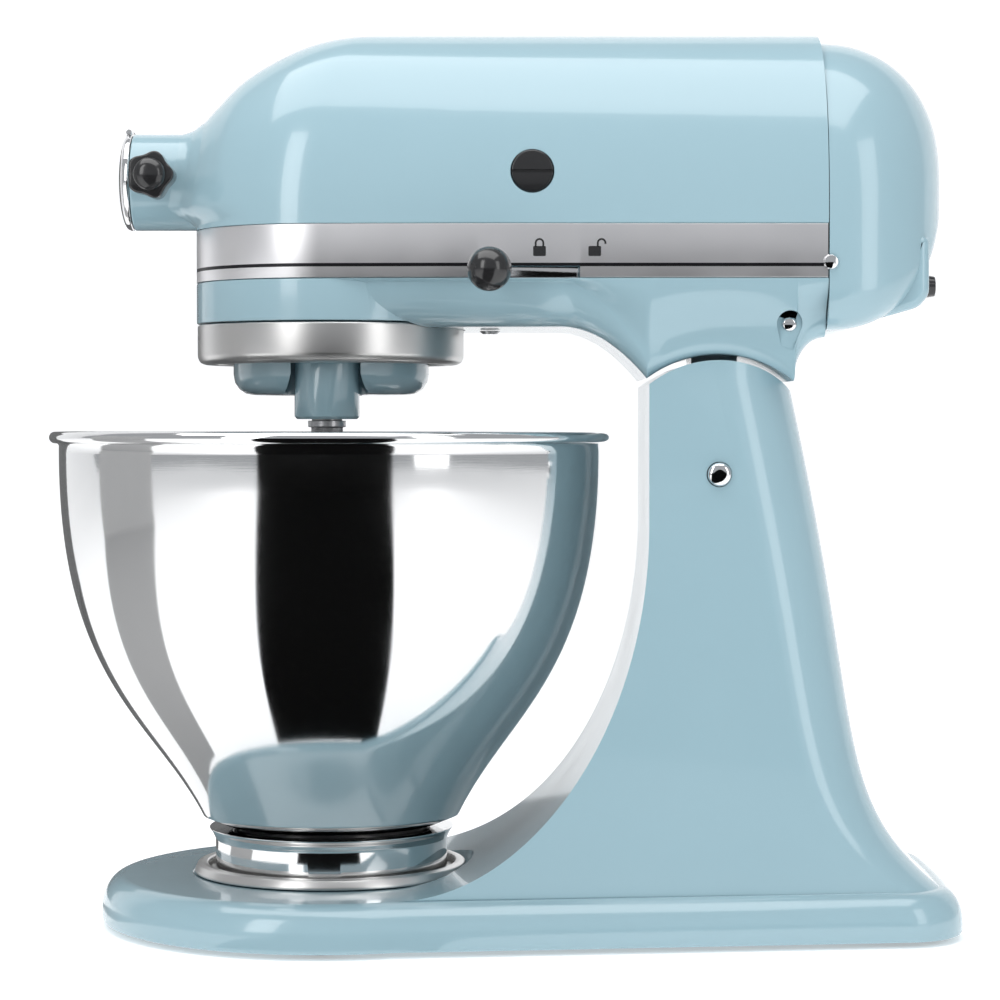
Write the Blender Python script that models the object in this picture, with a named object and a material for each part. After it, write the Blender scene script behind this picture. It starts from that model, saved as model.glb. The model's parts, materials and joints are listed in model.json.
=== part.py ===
"""Tilt-head stand mixer, modelled as the pieces that it comes apart into.

Metres, +Z up, front of the mixer towards -X. The floor is Z = 0, and X = 0 is halfway between the
bowl's front edge and the back of the base. Each piece is one object, parented to the empty of the
body that it moves with, and each body's empty stands on its joint's axis.
"""

import math

import bmesh
import bpy
import numpy as np
from mathutils import Matrix, Vector

# ---------------------------------------------------------------- clearances and walls
GAP = 0.0003  # between two pieces that touch
RUNNING_GAP = 0.0006  # between two pieces that turn or slide on each other
CASTING_WALL = 0.0035
PEDESTAL_WALL = 0.005

# ---------------------------------------------------------------- base and column
HINGE_X = 0.0844
HINGE_Z = 0.1794
HINGE_PIN_RADIUS = 0.0046
LUG_RADIUS = 0.0170
LUG_HALF_WIDTH = 0.0150
LUG_WEB_HALF = 0.0090
LUG_SWING = 0.0095  # room behind the lug for its web at full tilt
COLUMN_FRONT_DEPTH = 0.0271  # hinge to the column's front face
COLUMN_HALF_WIDTH = 0.0460
COLUMN_REAR_HALF_WIDTH = 0.0430
COLUMN_REAR_CORNER = 0.0300
COLUMN_TOP_RADIUS = 0.0440  # about the hinge
COLUMN_REAR_REACH = 0.0290  # hinge to the back of the column at its top
BASE_TOP_Z = 0.0200
BASE_BOTTOM_Z = 0.0022
BASE_EDGE_HEIGHT = 0.0130
BASE_EDGE_INSET = 0.0090
BASE_NOSE_RADIUS = 0.0913  # about the bowl's axis
BASE_REAR_REACH = 0.0946  # hinge to the back of the base
BASE_REAR_HALF_WIDTH = 0.0660
BASE_REAR_CORNER = 0.0260
SWEEP_FRONT_REACH = 0.0275  # bowl axis to where the column's sweep meets the base's flat top
SWEEP_TOP_DROP = 0.0194  # hinge down to where the column's sweep begins
PLAN_STEPS = 7  # points round a quarter of the base's nose
FOOT_RADIUS = 0.0095
FOOT_HEIGHT = 0.0052

# ---------------------------------------------------------------- bowl and clamp plate
BOWL_CLEARANCE = 0.0133  # bowl rim to the column's front face
BOWL_RIM_RADIUS = 0.1115
BOWL_RIM_RISE = 0.0164  # bowl rim above the hinge
BOWL_BEAD = 0.0023
BOWL_WALL = 0.0011
BOWL_SEAT_RADIUS = 0.0513
BOWL_SEAT_Z = 0.0432
BOWL_FLOOR_Z = 0.0385
FOOT_RING_RADIUS = 0.0463
FOOT_RING_WALL = 0.0015
CLAMP_RADIUS = 0.0546
CLAMP_INNER_RADIUS = 0.0492
CLAMP_TOP_RISE = 0.0042
CLAMP_FLOOR = 0.0010
CLAMP_LIP = 0.0014  # thickness of the lip that the bowl's lugs slide under
LUG_HEIGHT = 0.0008

# ---------------------------------------------------------------- head, heights above the hinge
BAND_LOW = 0.0752
BAND_HIGH = 0.0956
BAND_THICKNESS = 0.0011
HEAD_HALF_WIDTH = 0.0550
HEAD_FRONT_RADIUS = 0.0533
HEAD_HEIGHT = 0.0776  # band's top to the ridge
HEAD_DOME_REACH = 0.0744  # front of the flat ridge, forward
HEAD_CURVE = 2.3
HEAD_SEAM_REACH = 0.0406  # hinge to the seam of the rear cover
BELLY_RISE = 0.0568
SADDLE_GAP = 0.0022
NECK_HALF_WIDTH = 0.0452
COVER_LENGTH = 0.0490
COVER_STEP = 0.0030
COVER_WALL = 0.0030
COVER_BOX_HALF = 0.0390
COVER_BOX_LENGTH = 0.0410
COVER_CURVE = 2.2
NECK_FRONT = 0.0278  # hinge to the neck's front corner
NECK_REAR = 0.0289
NECK_RUN = 0.0330  # length of the curve from the belly down to the neck
DRIP_RING_LOW = 0.0429  # above the hinge
SHAFT_RISE = 0.1156  # motor shaft above the hinge
HUB_RADIUS = 0.0191
HUB_BORE = 0.0130
HUB_LENGTH = 0.0781  # bowl axis to the hub's front face
HUB_KNOB_SETBACK = 0.0106  # hub's front face to the clamping knob
SOCKET_DEPTH = 0.0250  # hub's front face to the square drive
SOCKET_HALF = 0.0047
DRIVE_HEAD_RADIUS = 0.0085
DRIVE_HEAD_LENGTH = 0.0130
DRIVE_SHAFT_RADIUS = 0.0050

# ---------------------------------------------------------------- drive
GEAR_MODULE = 0.0015
ADDENDUM = 0.5 * GEAR_MODULE  # pointed teeth, so that they clear each other in mesh
DEDENDUM = 1.1 * GEAR_MODULE
BEVEL_FACE = 0.0075
SHAFT_RADIUS = 0.0040
GEAR_LIFT = 0.0025  # centre gear above the gear case's floor
GEAR_FACE = 0.0070
MOTOR_X = 0.0640
FIELD_BORE = 0.0205
FIELD_RADIUS = 0.0330
FIELD_HALF_LENGTH = 0.0220
CORE_RADIUS = 0.0195
CORE_HALF_LENGTH = 0.0240
COMMUTATOR_RADIUS = 0.0110
BUSH_RADIUS = 0.0085
CENTRE_TEETH = 42
PINION_TEETH = 14
WHEEL_TEETH = 24
RING_TEETH = 54
AGITATOR_TEETH = 18
BEVEL_TEETH = 36
HUB_BEVEL_TEETH = 16
WORM_STARTS = 4
WORM_RADIUS = 0.0060
PLANETARY_RADIUS = 0.0390
PLANETARY_LOW = 0.0310  # above the hinge
BEATER_BOSS_RADIUS = 0.0127
BEATER_BOSS_LOW = 0.0213  # above the hinge
CENTRE_SHAFT_RADIUS = 0.0055
BEATER_SHAFT_RADIUS = 0.0062
BEATER_FLOOR_GAP = 0.0070
BEATER_WALL_GAP = 0.0090
BEATER_HALF_WIDTH = 0.0520
BEATER_DROP = 0.0340  # bowl rim down to the beater's shoulder
BEATER_FRAME = 0.0085
BEATER_SPINE_HALF = 0.0045
BEATER_HALF_THICKNESS = 0.0040

# ---------------------------------------------------------------- controls
BRUSH_X = 0.0123
BRUSH_CAP_RADIUS = 0.0081
LOCK_X = -0.0040
LOCK_TRAVEL = 0.0220
LOCK_KNOB_RADIUS = 0.0084
SPEED_X = -0.0040
SPEED_TRAVEL = 0.0500
SLOT_REACH = 0.0030
LOCK_SLOT_EXTRA = 0.0095  # the lock's slot runs on behind its knob
SLOT_LOW = 0.0753
SLOT_HIGH = 0.0796
HUB_KNOB_RADIUS = 0.0093
LEVER_STEM_END = 0.0620
SLIDER_THICKNESS = 0.0020
LOCK_SLIDER_REACH = 0.0380  # lever to the slider's rear end
SPEED_SLIDER_REACH = 0.0240
BELLY_SCREW_X = -0.0040

# ---------------------------------------------------------------- places worked out from the sizes above
COLUMN_FRONT_X = HINGE_X - COLUMN_FRONT_DEPTH
SWEEP_TOP_Z = HINGE_Z - SWEEP_TOP_DROP
BOWL_RIM_Z = HINGE_Z + BOWL_RIM_RISE
BOWL_X = COLUMN_FRONT_X - BOWL_CLEARANCE - BOWL_RIM_RADIUS
BASE_REAR_X = HINGE_X + BASE_REAR_REACH
SEAM_X = HINGE_X + HEAD_SEAM_REACH
BAND_BOTTOM_Z = HINGE_Z + BAND_LOW
BAND_TOP_Z = HINGE_Z + BAND_HIGH
SPLIT_Z = (BAND_BOTTOM_Z + BAND_TOP_Z) / 2
BELLY_Z = HINGE_Z + BELLY_RISE
SHAFT_Z = HINGE_Z + SHAFT_RISE
RIDGE_FRONT_X = BOWL_X - HEAD_FRONT_RADIUS + HEAD_DOME_REACH
HUB_FACE_X = BOWL_X - HUB_LENGTH
SADDLE_RADIUS = COLUMN_TOP_RADIUS + SADDLE_GAP
RECESS = BAND_THICKNESS + GAP
SLIDER_OUTER = HEAD_HALF_WIDTH - RECESS - CASTING_WALL - RUNNING_GAP  # against the housing's wall
ORBIT = (RING_TEETH - AGITATOR_TEETH) * GEAR_MODULE / 2
WHEEL_RADIUS = WHEEL_TEETH * GEAR_MODULE / 2
WHEEL_Y = WHEEL_RADIUS + WORM_RADIUS + 2 * ADDENDUM + GAP
LEVER_SLOTS = ((-1, LOCK_X, LOCK_TRAVEL + LOCK_SLOT_EXTRA), (1, SPEED_X, SPEED_TRAVEL))  # side, start, run
GEAR_CENTRES = (CENTRE_TEETH + PINION_TEETH) * GEAR_MODULE / 2
WHEEL_X = BOWL_X + math.sqrt(GEAR_CENTRES**2 - WHEEL_Y**2)

# ---------------------------------------------------------------- finishes: colour, metallic, roughness
FINISHES = {
    "enamel": ((0.38, 0.60, 0.65), 0.0, 0.22),
    "bowl_steel": ((0.78, 0.78, 0.78), 1.0, 0.08),
    "brushed_steel": ((0.60, 0.59, 0.58), 1.0, 0.32),
    "band_aluminium": ((0.72, 0.71, 0.72), 1.0, 0.38),
    "chrome": ((0.80, 0.80, 0.81), 1.0, 0.06),
    "machined_steel": ((0.50, 0.50, 0.51), 1.0, 0.30),
    "cast_zinc": ((0.42, 0.42, 0.43), 1.0, 0.50),
    "worm_bronze": ((0.55, 0.36, 0.16), 1.0, 0.35),
    "copper": ((0.62, 0.28, 0.14), 1.0, 0.35),
    "black_plastic": ((0.012, 0.012, 0.013), 0.0, 0.18),
    "nylon": ((0.75, 0.73, 0.66), 0.0, 0.45),
    "board_green": ((0.02, 0.10, 0.04), 0.0, 0.45),
    "rubber": ((0.03, 0.03, 0.03), 0.0, 0.75),
    "carbon": ((0.03, 0.03, 0.03), 0.2, 0.60),
}


# ---------------------------------------------------------------- scene and materials
def clear_scene():
    """Remove whatever the file holds."""
    for obj in list(bpy.data.objects):
        bpy.data.objects.remove(obj, do_unlink=True)


def finish(name):
    """The material of one finish, made on its first use."""
    found = bpy.data.materials.get(name)
    if found:
        return found
    colour, metallic, roughness = FINISHES[name]
    material = bpy.data.materials.new(name)
    material.use_nodes = True
    shader = material.node_tree.nodes["Principled BSDF"]
    shader.inputs["Base Color"].default_value = (*colour, 1.0)
    shader.inputs["Metallic"].default_value = metallic
    shader.inputs["Roughness"].default_value = roughness
    return material


def body(name, place, parent=None):
    """An empty on a body's joint axis, which the body's pieces are parented to."""
    empty = bpy.data.objects.new(name, None)
    empty.empty_display_size = 0.02
    bpy.context.collection.objects.link(empty)
    empty.parent = parent
    above = world_place(parent) if parent else Vector()
    empty.location = Vector(place) - above
    return empty


def world_place(empty):
    """Where an unturned empty stands, through its parents."""
    place = empty.location.copy()
    if empty.parent:
        place += world_place(empty.parent)
    return place


# ---------------------------------------------------------------- meshes, made in world coordinates
def closed_mesh(points, faces):
    """A bmesh of these points and faces, with meeting points joined and the faces turned outwards."""
    shape = bmesh.new()
    corners = [shape.verts.new(point) for point in points]
    for face in faces:
        shape.faces.new([corners[i] for i in face])
    return tidied(shape)


def tidied(shape):
    """Join points that meet and turn the faces outwards."""
    bmesh.ops.remove_doubles(shape, verts=shape.verts, dist=2e-6)
    bmesh.ops.dissolve_degenerate(shape, dist=1e-7, edges=shape.edges)
    bmesh.ops.recalc_face_normals(shape, faces=shape.faces)
    return shape


def loft(rings, start_cap=True, end_cap=True, loop=False):
    """Skin a row of closed rings that have the same number of points, with flat caps on the end rings."""
    rings = [list(ring) for ring in rings]
    count = len(rings[0])
    points = [point for ring in rings for point in ring]
    faces = []
    pairs = len(rings) if loop else len(rings) - 1
    for k in range(pairs):
        low, high = k * count, ((k + 1) % len(rings)) * count
        for i in range(count):
            j = (i + 1) % count
            faces.append((low + i, low + j, high + j, high + i))
    for wanted, first in ((start_cap, 0), (end_cap, (len(rings) - 1) * count)):
        if wanted and not loop:
            faces.append(tuple(range(first, first + count)))
    return closed_mesh(points, faces)


def turned(profile, centre, axis="Z", steps=32, ring=False):
    """Spin a profile of (radius, height) points. A ring's profile closes on itself, off the axis."""
    shape = bmesh.new()
    corners = [shape.verts.new((radius, 0, height)) for radius, height in profile]
    edges = [shape.edges.new(pair) for pair in zip(corners, corners[1:])]
    if ring:
        edges.append(shape.edges.new((corners[-1], corners[0])))
    bmesh.ops.spin(
        shape, geom=corners + edges, cent=(0, 0, 0), axis=(0, 0, 1),
        angle=2 * math.pi, steps=steps, use_merge=True,
    )
    turn = {"Z": Matrix(), "X": Matrix.Rotation(math.pi / 2, 4, "Y"), "Y": Matrix.Rotation(-math.pi / 2, 4, "X")}
    shape = tidied(shape)
    bmesh.ops.transform(shape, matrix=Matrix.Translation(Vector(centre)) @ turn[axis], verts=shape.verts)
    return shape


def rod(radius, start, end, centre, axis="Z", steps=20, bevel=0.0):
    """A solid round bar between two heights along its axis, with chamfered ends."""
    bevel = min(bevel, radius / 2, abs(end - start) / 4)
    profile = [(0, start), (radius, start), (radius, end), (0, end)]
    if bevel:
        profile = [
            (0, start), (radius - bevel, start), (radius, start + bevel),
            (radius, end - bevel), (radius - bevel, end), (0, end),
        ]
    return turned(profile, centre, axis, steps)


def tube(inner, outer, start, end, centre, axis="Z", steps=24):
    """A round tube between two heights along its axis."""
    profile = [(outer, start), (outer, end), (inner, end), (inner, start)]
    return turned(profile, centre, axis, steps, ring=True)


def extruded(outline, start, end, plane="XY", centre=(0, 0, 0)):
    """Extrude a flat outline: one on XY rises along Z, one on YZ along X, and one on XZ along Y."""
    stand = {
        "XY": lambda across, up: (across, up, start),
        "YZ": lambda across, up: (start, across, up),
        "XZ": lambda across, up: (across, start, up),
    }[plane]
    along = {"XY": (0, 0, 1), "YZ": (1, 0, 0), "XZ": (0, 1, 0)}[plane]
    shape = bmesh.new()
    face = shape.faces.new([shape.verts.new(stand(*point)) for point in outline])
    grown = bmesh.ops.extrude_face_region(shape, geom=[face])["geom"]
    moved = [item for item in grown if isinstance(item, bmesh.types.BMVert)]
    bmesh.ops.translate(shape, verts=moved, vec=Vector(along) * (end - start))
    bmesh.ops.translate(shape, verts=shape.verts, vec=Vector(centre))
    return tidied(shape)


def block(low, high, bevel=0.0):
    """A box between two corners, with its edges chamfered."""
    low, high = Vector(low), Vector(high)
    shape = bmesh.new()
    bmesh.ops.create_cube(shape, size=1)
    size = high - low
    matrix = Matrix.Translation((low + high) / 2) @ Matrix.Diagonal((*size, 1))
    bmesh.ops.transform(shape, matrix=matrix, verts=shape.verts)
    if bevel:
        bmesh.ops.bevel(shape, geom=shape.edges, offset=min(bevel, min(size) / 3), segments=1, affect="EDGES")
    return tidied(shape)


# ---------------------------------------------------------------- objects
def piece(name, shape, look, parent, smooth=35):
    """Make a bmesh in world coordinates a named piece of a body, with its origin on the body's empty."""
    origin = world_place(parent)
    bmesh.ops.translate(shape, verts=shape.verts, vec=-origin)
    mesh = bpy.data.meshes.new(name)
    shape.to_mesh(mesh)
    shape.free()
    mesh.materials.append(finish(look))
    mesh.shade_smooth()
    mesh.set_sharp_from_angle(angle=math.radians(smooth))
    obj = bpy.data.objects.new(name, mesh)
    bpy.context.collection.objects.link(obj)
    obj.parent = parent
    return obj


def combine(obj, operation, *shapes):
    """Join shapes to a piece with "UNION", or take them away with "DIFFERENCE"."""
    for shape in shapes:
        helper = piece(f"{obj.name}_helper", shape, "cast_zinc", obj.parent)
        helper.hide_render = True
        helper.display_type = "WIRE"
        modifier = obj.modifiers.new(operation.title(), "BOOLEAN")
        modifier.operation = operation
        modifier.solver = "MANIFOLD"
        modifier.object = helper
    return obj


def bezier(start, near_start, near_end, end, count):
    """Points along one cubic Bezier curve."""
    t = np.linspace(0, 1, count)[:, None]
    corners = [np.array(corner, float) for corner in (start, near_start, near_end, end)]
    weights = ((1 - t) ** 3, 3 * (1 - t) ** 2 * t, 3 * (1 - t) * t**2, t**3)
    return [tuple(point) for point in sum(w * c for w, c in zip(weights, corners))]


def arc(radius, start, end, count, centre=(0.0, 0.0)):
    """Points on a circle between two angles in degrees."""
    angles = np.radians(np.linspace(start, end, count))
    return [(centre[0] + radius * math.cos(a), centre[1] + radius * math.sin(a)) for a in angles]


# ---------------------------------------------------------------- pedestal
def pedestal_rear(z):
    """How far back the pedestal reaches at a height: a long taper that flares out at its foot."""
    curve = bezier(
        (COLUMN_REAR_REACH, HINGE_Z + 0.0376), (COLUMN_REAR_REACH + 0.0316, HINGE_Z - 0.102),
        (COLUMN_REAR_REACH + 0.0167, BASE_TOP_Z + 0.032), (BASE_REAR_REACH - BASE_EDGE_INSET, BASE_TOP_Z), 40,
    )
    heights = [point[1] for point in reversed(curve)]
    return HINGE_X + float(np.interp(z, heights, [point[0] for point in reversed(curve)]))


def pedestal_front(z):
    """Where the pedestal's front face is at a height: upright, then a quarter ellipse down to the base."""
    foot = BOWL_X + SWEEP_FRONT_REACH
    drop = max(0.0, (SWEEP_TOP_Z - z) / (SWEEP_TOP_Z - BASE_TOP_Z))
    return foot + (COLUMN_FRONT_X - foot) * math.sqrt(max(0.0, 1 - drop**2))


def pedestal_flare(z):
    """0 at the top of the column, 1 at the top of the base: how far the sides have spread."""
    drop = min(1.0, max(0.0, (HINGE_Z - z) / (HINGE_Z - BASE_TOP_Z)))
    return 0.22 * drop + 0.78 * drop**6


def plan_ring(front, rear, front_half, rear_half, corner, inset=0.0, nose=0.0):
    """A left-right symmetric outline. Its front is flat, or the arc of a nose of a given radius."""
    front_half, rear_half, rear = front_half - inset, rear_half - inset, rear - inset
    corner = max(corner - inset, 0.002)
    sides = []
    if nose:
        reach = nose - inset
        turn = math.degrees(math.acos(max(-1.0, min(1.0, (BOWL_X - front) / reach))))
        sides += [(BOWL_X - x, y) for x, y in arc(reach, 0, turn, PLAN_STEPS + 1)]
    else:
        sides += [(front + inset, front_half * k / PLAN_STEPS) for k in range(PLAN_STEPS + 1)]
    start = Vector(sides[-1])
    stop = Vector((rear - corner, rear_half))
    sides += [tuple(start.lerp(stop, k / 3)) for k in range(1, 3)]
    sides += [(rear - corner + x, rear_half - corner + y) for x, y in arc(corner, 90, 0, 6)]
    sides.append((rear + 0.0008, 0.0))
    return sides + [(x, -y) for x, y in reversed(sides[1:-1])]


def pedestal_ring(z, inset=0.0):
    """One slice of the pedestal above the base's flat top."""
    flare = pedestal_flare(z)
    shoulder = BASE_NOSE_RADIUS - BASE_EDGE_INSET
    base_half = math.sqrt(shoulder**2 - SWEEP_FRONT_REACH**2) - GAP
    rear_half = BASE_REAR_HALF_WIDTH - BASE_EDGE_INSET - GAP
    return plan_ring(
        pedestal_front(z), pedestal_rear(z),
        COLUMN_HALF_WIDTH + (base_half - COLUMN_HALF_WIDTH) * flare,
        COLUMN_REAR_HALF_WIDTH + (rear_half - COLUMN_REAR_HALF_WIDTH) * flare,
        COLUMN_REAR_CORNER + (BASE_REAR_CORNER - BASE_EDGE_INSET - COLUMN_REAR_CORNER) * flare, inset,
    )


def base_ring(inset):
    """One slice of the base, whose nose is round about the bowl's axis."""
    return plan_ring(
        BOWL_X + SWEEP_FRONT_REACH, BASE_REAR_X, BASE_NOSE_RADIUS, BASE_REAR_HALF_WIDTH,
        BASE_REAR_CORNER, inset, nose=BASE_NOSE_RADIUS,
    )


def raised(ring, z):
    return [(x, y, z) for x, y in ring]


def pedestal_outside():
    """Base, sweep and column as one solid, its top left higher than the arc that trims it."""
    rings = [raised(base_ring(0.0012), BASE_BOTTOM_Z), raised(base_ring(0.0), BASE_BOTTOM_Z + 0.0015)]
    shoulder = BASE_TOP_Z - BASE_EDGE_HEIGHT
    for angle in (0, 25, 45, 65, 90):
        turn = math.radians(angle)
        inset = BASE_EDGE_INSET * (1 - math.cos(turn))
        rings.append(raised(base_ring(inset), shoulder + BASE_EDGE_HEIGHT * math.sin(turn)))
    span = SWEEP_TOP_Z - BASE_TOP_Z
    for k in range(12):
        z = BASE_TOP_Z + span * (1 - math.cos(math.radians(90 * k / 11)))
        rings.append(raised(pedestal_ring(z), z))
    top = HINGE_Z + COLUMN_TOP_RADIUS + 0.004
    for k in range(1, 3):
        z = SWEEP_TOP_Z + (top - SWEEP_TOP_Z) * k / 2
        rings.append(raised(pedestal_ring(z), z))
    return loft(rings)


def pedestal_inside():
    """The hollow of the pedestal, open underneath, one wall inside the outer surface."""
    wall = PEDESTAL_WALL
    rings = [raised(base_ring(wall), BASE_BOTTOM_Z - 0.004), raised(base_ring(wall), BASE_TOP_Z - wall - 0.006)]
    rings.append(raised(base_ring(wall + 0.006), BASE_TOP_Z - wall))
    low, high = BASE_TOP_Z + 0.001, HINGE_Z - 0.044
    for k in range(7):
        z = low + (high - low) * (k / 6) ** 1.5
        rings.append(raised(pedestal_ring(z, wall), z - wall))
    return loft(rings)


def column_trim():
    """Everything above the arc that the head rolls over."""
    radius, high = COLUMN_TOP_RADIUS, COLUMN_TOP_RADIUS + 0.02
    outline = arc(radius, 165, 15, 11) + [(high, radius * math.sin(math.radians(15))), (high, high), (-high, high)]
    outline.append((-high, radius * math.sin(math.radians(15))))
    return extruded(outline, -0.09, 0.09, "XZ", (HINGE_X, 0, HINGE_Z))


def plate_seat():
    """The shallow round seat of the clamp plate, which flares out where it cuts into the sweep."""
    low, high = BASE_TOP_Z - 0.0004, BASE_TOP_Z + 0.030
    radius = CLAMP_RADIUS + 0.0008
    profile = [(0, low), (radius, low), (radius + 0.0008, low + 0.0020), (radius + 0.0060, high), (0, high)]
    return turned(profile, (BOWL_X, 0, 0), steps=36)


def make_pedestal(root):
    """The hollow casting of base and column, with the slot that takes the head's hinge lug."""
    pedestal = piece("pedestal", pedestal_outside(), "enamel", root)
    combine(pedestal, "DIFFERENCE", column_trim(), pedestal_inside(), plate_seat())
    slot = LUG_HALF_WIDTH + RUNNING_GAP
    low = HINGE_Z - LUG_RADIUS - 0.0016
    room = block((HINGE_X - LUG_RADIUS - 0.0012, -slot, low), (HINGE_X + LUG_RADIUS + LUG_SWING, slot, HINGE_Z + 0.06))
    way_back = block((HINGE_X, -slot, HINGE_Z + 0.0200), (HINGE_X + 0.06, slot, HINGE_Z + 0.06))
    bore = rod(HINGE_PIN_RADIUS + GAP, -0.06, 0.06, (HINGE_X, 0, HINGE_Z), "Y", 24)
    combine(pedestal, "DIFFERENCE", room, way_back, bore)
    for x, y in foot_places():
        top = BASE_TOP_Z + (0.006 if x > HINGE_X else -0.003)
        combine(pedestal, "UNION", rod(FOOT_RADIUS - 0.002, FOOT_HEIGHT + GAP, top, (x, y, 0), steps=12))
    return pedestal


def foot_places():
    """Two feet at the back, two beside the bowl and one under the nose."""
    back = BASE_REAR_X - 0.027
    return [
        (back, BASE_REAR_HALF_WIDTH - 0.024), (back, 0.024 - BASE_REAR_HALF_WIDTH),
        (BOWL_X, BASE_NOSE_RADIUS - 0.021), (BOWL_X, 0.021 - BASE_NOSE_RADIUS),
        (BOWL_X - BASE_NOSE_RADIUS + 0.021, 0.0),
    ]


def make_feet(root):
    """Round rubber feet, flat underneath, pushed up against the base's pads."""
    names = ("foot_rear_left", "foot_rear_right", "foot_middle_left", "foot_middle_right", "foot_front")
    profile = [(0, 0), (FOOT_RADIUS - 0.0008, 0), (FOOT_RADIUS, 0.0008), (FOOT_RADIUS, FOOT_HEIGHT), (0, FOOT_HEIGHT)]
    for name, (x, y) in zip(names, foot_places()):
        piece(name, turned(profile, (x, y, 0), steps=20), "rubber", root)


def make_hinge_pin(root):
    """The pin that the head tilts on, with a domed end at each cheek of the column."""
    half = hinge_cheek() + 0.0004
    end = HINGE_PIN_RADIUS
    profile = [(0, -half - 0.0008), (end * 0.6, -half - 0.0006), (end, -half), (end, half)]
    profile += [(end * 0.6, half + 0.0006), (0, half + 0.0008)]
    piece("hinge_pin", turned(profile, (HINGE_X, 0, HINGE_Z), "Y", 24), "chrome", root)


def hinge_cheek():
    """Half-width of the column at the hinge."""
    share = (HINGE_X - COLUMN_FRONT_X) / (pedestal_rear(HINGE_Z) - COLUMN_REAR_CORNER - COLUMN_FRONT_X)
    return COLUMN_HALF_WIDTH + (COLUMN_REAR_HALF_WIDTH - COLUMN_HALF_WIDTH) * min(1.0, share)


# ---------------------------------------------------------------- bowl
def bowl_radius(z):
    """Outer radius of the bowl's wall: nearly upright at the rim, then a long curve to a cone."""
    wall = BOWL_RIM_RADIUS - 0.0038
    curve = bezier(
        (wall, BOWL_RIM_Z - 0.0054), (wall + 0.0009, BOWL_RIM_Z - 0.0988),
        (BOWL_SEAT_RADIUS + 0.0200, BOWL_SEAT_Z + 0.0389), (BOWL_SEAT_RADIUS, BOWL_SEAT_Z), 40,
    )
    heights = [point[1] for point in reversed(curve)]
    return float(np.interp(z, heights, [point[0] for point in reversed(curve)]))


def make_bowl(lift):
    """The mixing bowl: a thin drawn wall, a flat floor and a rim rolled outwards."""
    heights = np.linspace(BOWL_SEAT_Z, BOWL_RIM_Z - 0.0054, 9)
    outer = [(0.0, BOWL_FLOOR_Z), (FOOT_RING_RADIUS - 0.006, BOWL_FLOOR_Z)]
    outer += [(bowl_radius(z), z) for z in heights]
    bead = (BOWL_RIM_RADIUS - BOWL_BEAD, BOWL_RIM_Z - BOWL_BEAD)
    rim = arc(BOWL_BEAD, -110, 150, 6, bead)
    inner = [(radius - BOWL_WALL, z + BOWL_WALL * 0.4) for radius, z in outer[:0:-1]]
    inner.append((0.0, BOWL_FLOOR_Z + BOWL_WALL))
    piece("bowl", turned(outer + rim + inner, (BOWL_X, 0, 0), steps=28), "bowl_steel", lift)


def foot_bottom_z():
    """The bowl's foot turns just above the clamp plate's floor."""
    return BASE_TOP_Z + GAP + CLAMP_FLOOR + RUNNING_GAP


def make_bowl_foot(lift):
    """The ring under the bowl, flared at its top, with bayonet lugs that slide under the clamp ring."""
    outer, wall = FOOT_RING_RADIUS, FOOT_RING_WALL
    top = BOWL_FLOOR_Z - GAP
    profile = [
        (outer, foot_bottom_z()), (outer, top - 0.0045), (outer + 0.0012, top - 0.0020), (outer + 0.0026, top),
        (outer - 0.0070, top), (outer - 0.0070, top - 0.0015), (outer - wall, top - 0.0040),
        (outer - wall, foot_bottom_z()),
    ]
    foot = piece("bowl_foot", turned(profile, (BOWL_X, 0, 0), steps=24, ring=True), "bowl_steel", lift)
    reach = (outer + CLAMP_INNER_RADIUS) / 2 + 0.0024
    for side in (-1, 1):
        near, far = sorted((side * (outer - wall / 2), side * reach))
        combine(foot, "UNION", block(
            (BOWL_X - 0.006, near, foot_bottom_z() + 0.0001), (BOWL_X + 0.006, far, foot_bottom_z() + LUG_HEIGHT),
        ))


def make_clamp_plate(root):
    """The plate that the bowl locks into: a thin floor, a domed rim and a lip over the bowl's lugs."""
    low = BASE_TOP_Z + GAP
    high = low + CLAMP_TOP_RISE
    outer, inner = CLAMP_RADIUS, CLAMP_INNER_RADIUS
    lip = high - CLAMP_LIP
    profile = [
        (0, low), (outer, low), (outer, low + 0.0010), (outer - 0.0012, high - 0.0006), (outer - 0.0028, high),
        (inner + 0.0004, high - 0.0003), (inner, high - 0.0009), (inner + 0.0003, lip), (outer - 0.0032, lip),
        (outer - 0.0026, low + CLAMP_FLOOR), (0, low + CLAMP_FLOOR),
    ]
    piece("bowl_clamp_plate", turned(profile, (BOWL_X, 0, 0), steps=24), "brushed_steel", root)


# ---------------------------------------------------------------- head castings
def head_half(x, inset):
    """Half-width of the head's plan, which widens a little behind the bowl's axis."""
    share = min(1.0, max(0.0, (x - BOWL_X) / 0.045))
    return HEAD_FRONT_RADIUS + (HEAD_HALF_WIDTH - HEAD_FRONT_RADIUS) * share - inset


def head_outline(inset, seam_x, front_steps=9):
    """Half the head's plan from the middle of its front to the seam: a round nose, then nearly straight sides."""
    points = [(BOWL_X - x, y) for x, y in arc(HEAD_FRONT_RADIUS - inset, 0, 90, front_steps)]
    straight = (BOWL_X + 0.030, RIDGE_FRONT_X + 0.045, HINGE_X - 0.02, seam_x)
    return points + [(x, head_half(x, inset)) for x in straight]


def loaf(inset, low_z, seam_x, rows=7):
    """Half of the upper housing as arches in section, each from the plan outline up to the ridge."""
    rings = []
    height = BAND_TOP_Z + HEAD_HEIGHT - inset - low_z
    for x, y in head_outline(inset, seam_x):
        spine = max(x, RIDGE_FRONT_X)
        ring = []
        for k in range(rows + 1):
            turn = math.radians(90 * k / rows)
            inwards = math.cos(turn) ** (2 / HEAD_CURVE) if k < rows else 0.0
            up = math.sin(turn) ** (2 / HEAD_CURVE)
            ring.append((spine + (x - spine) * inwards, y * inwards, low_z + height * up))
        rings.append(ring)
    return rings


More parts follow.
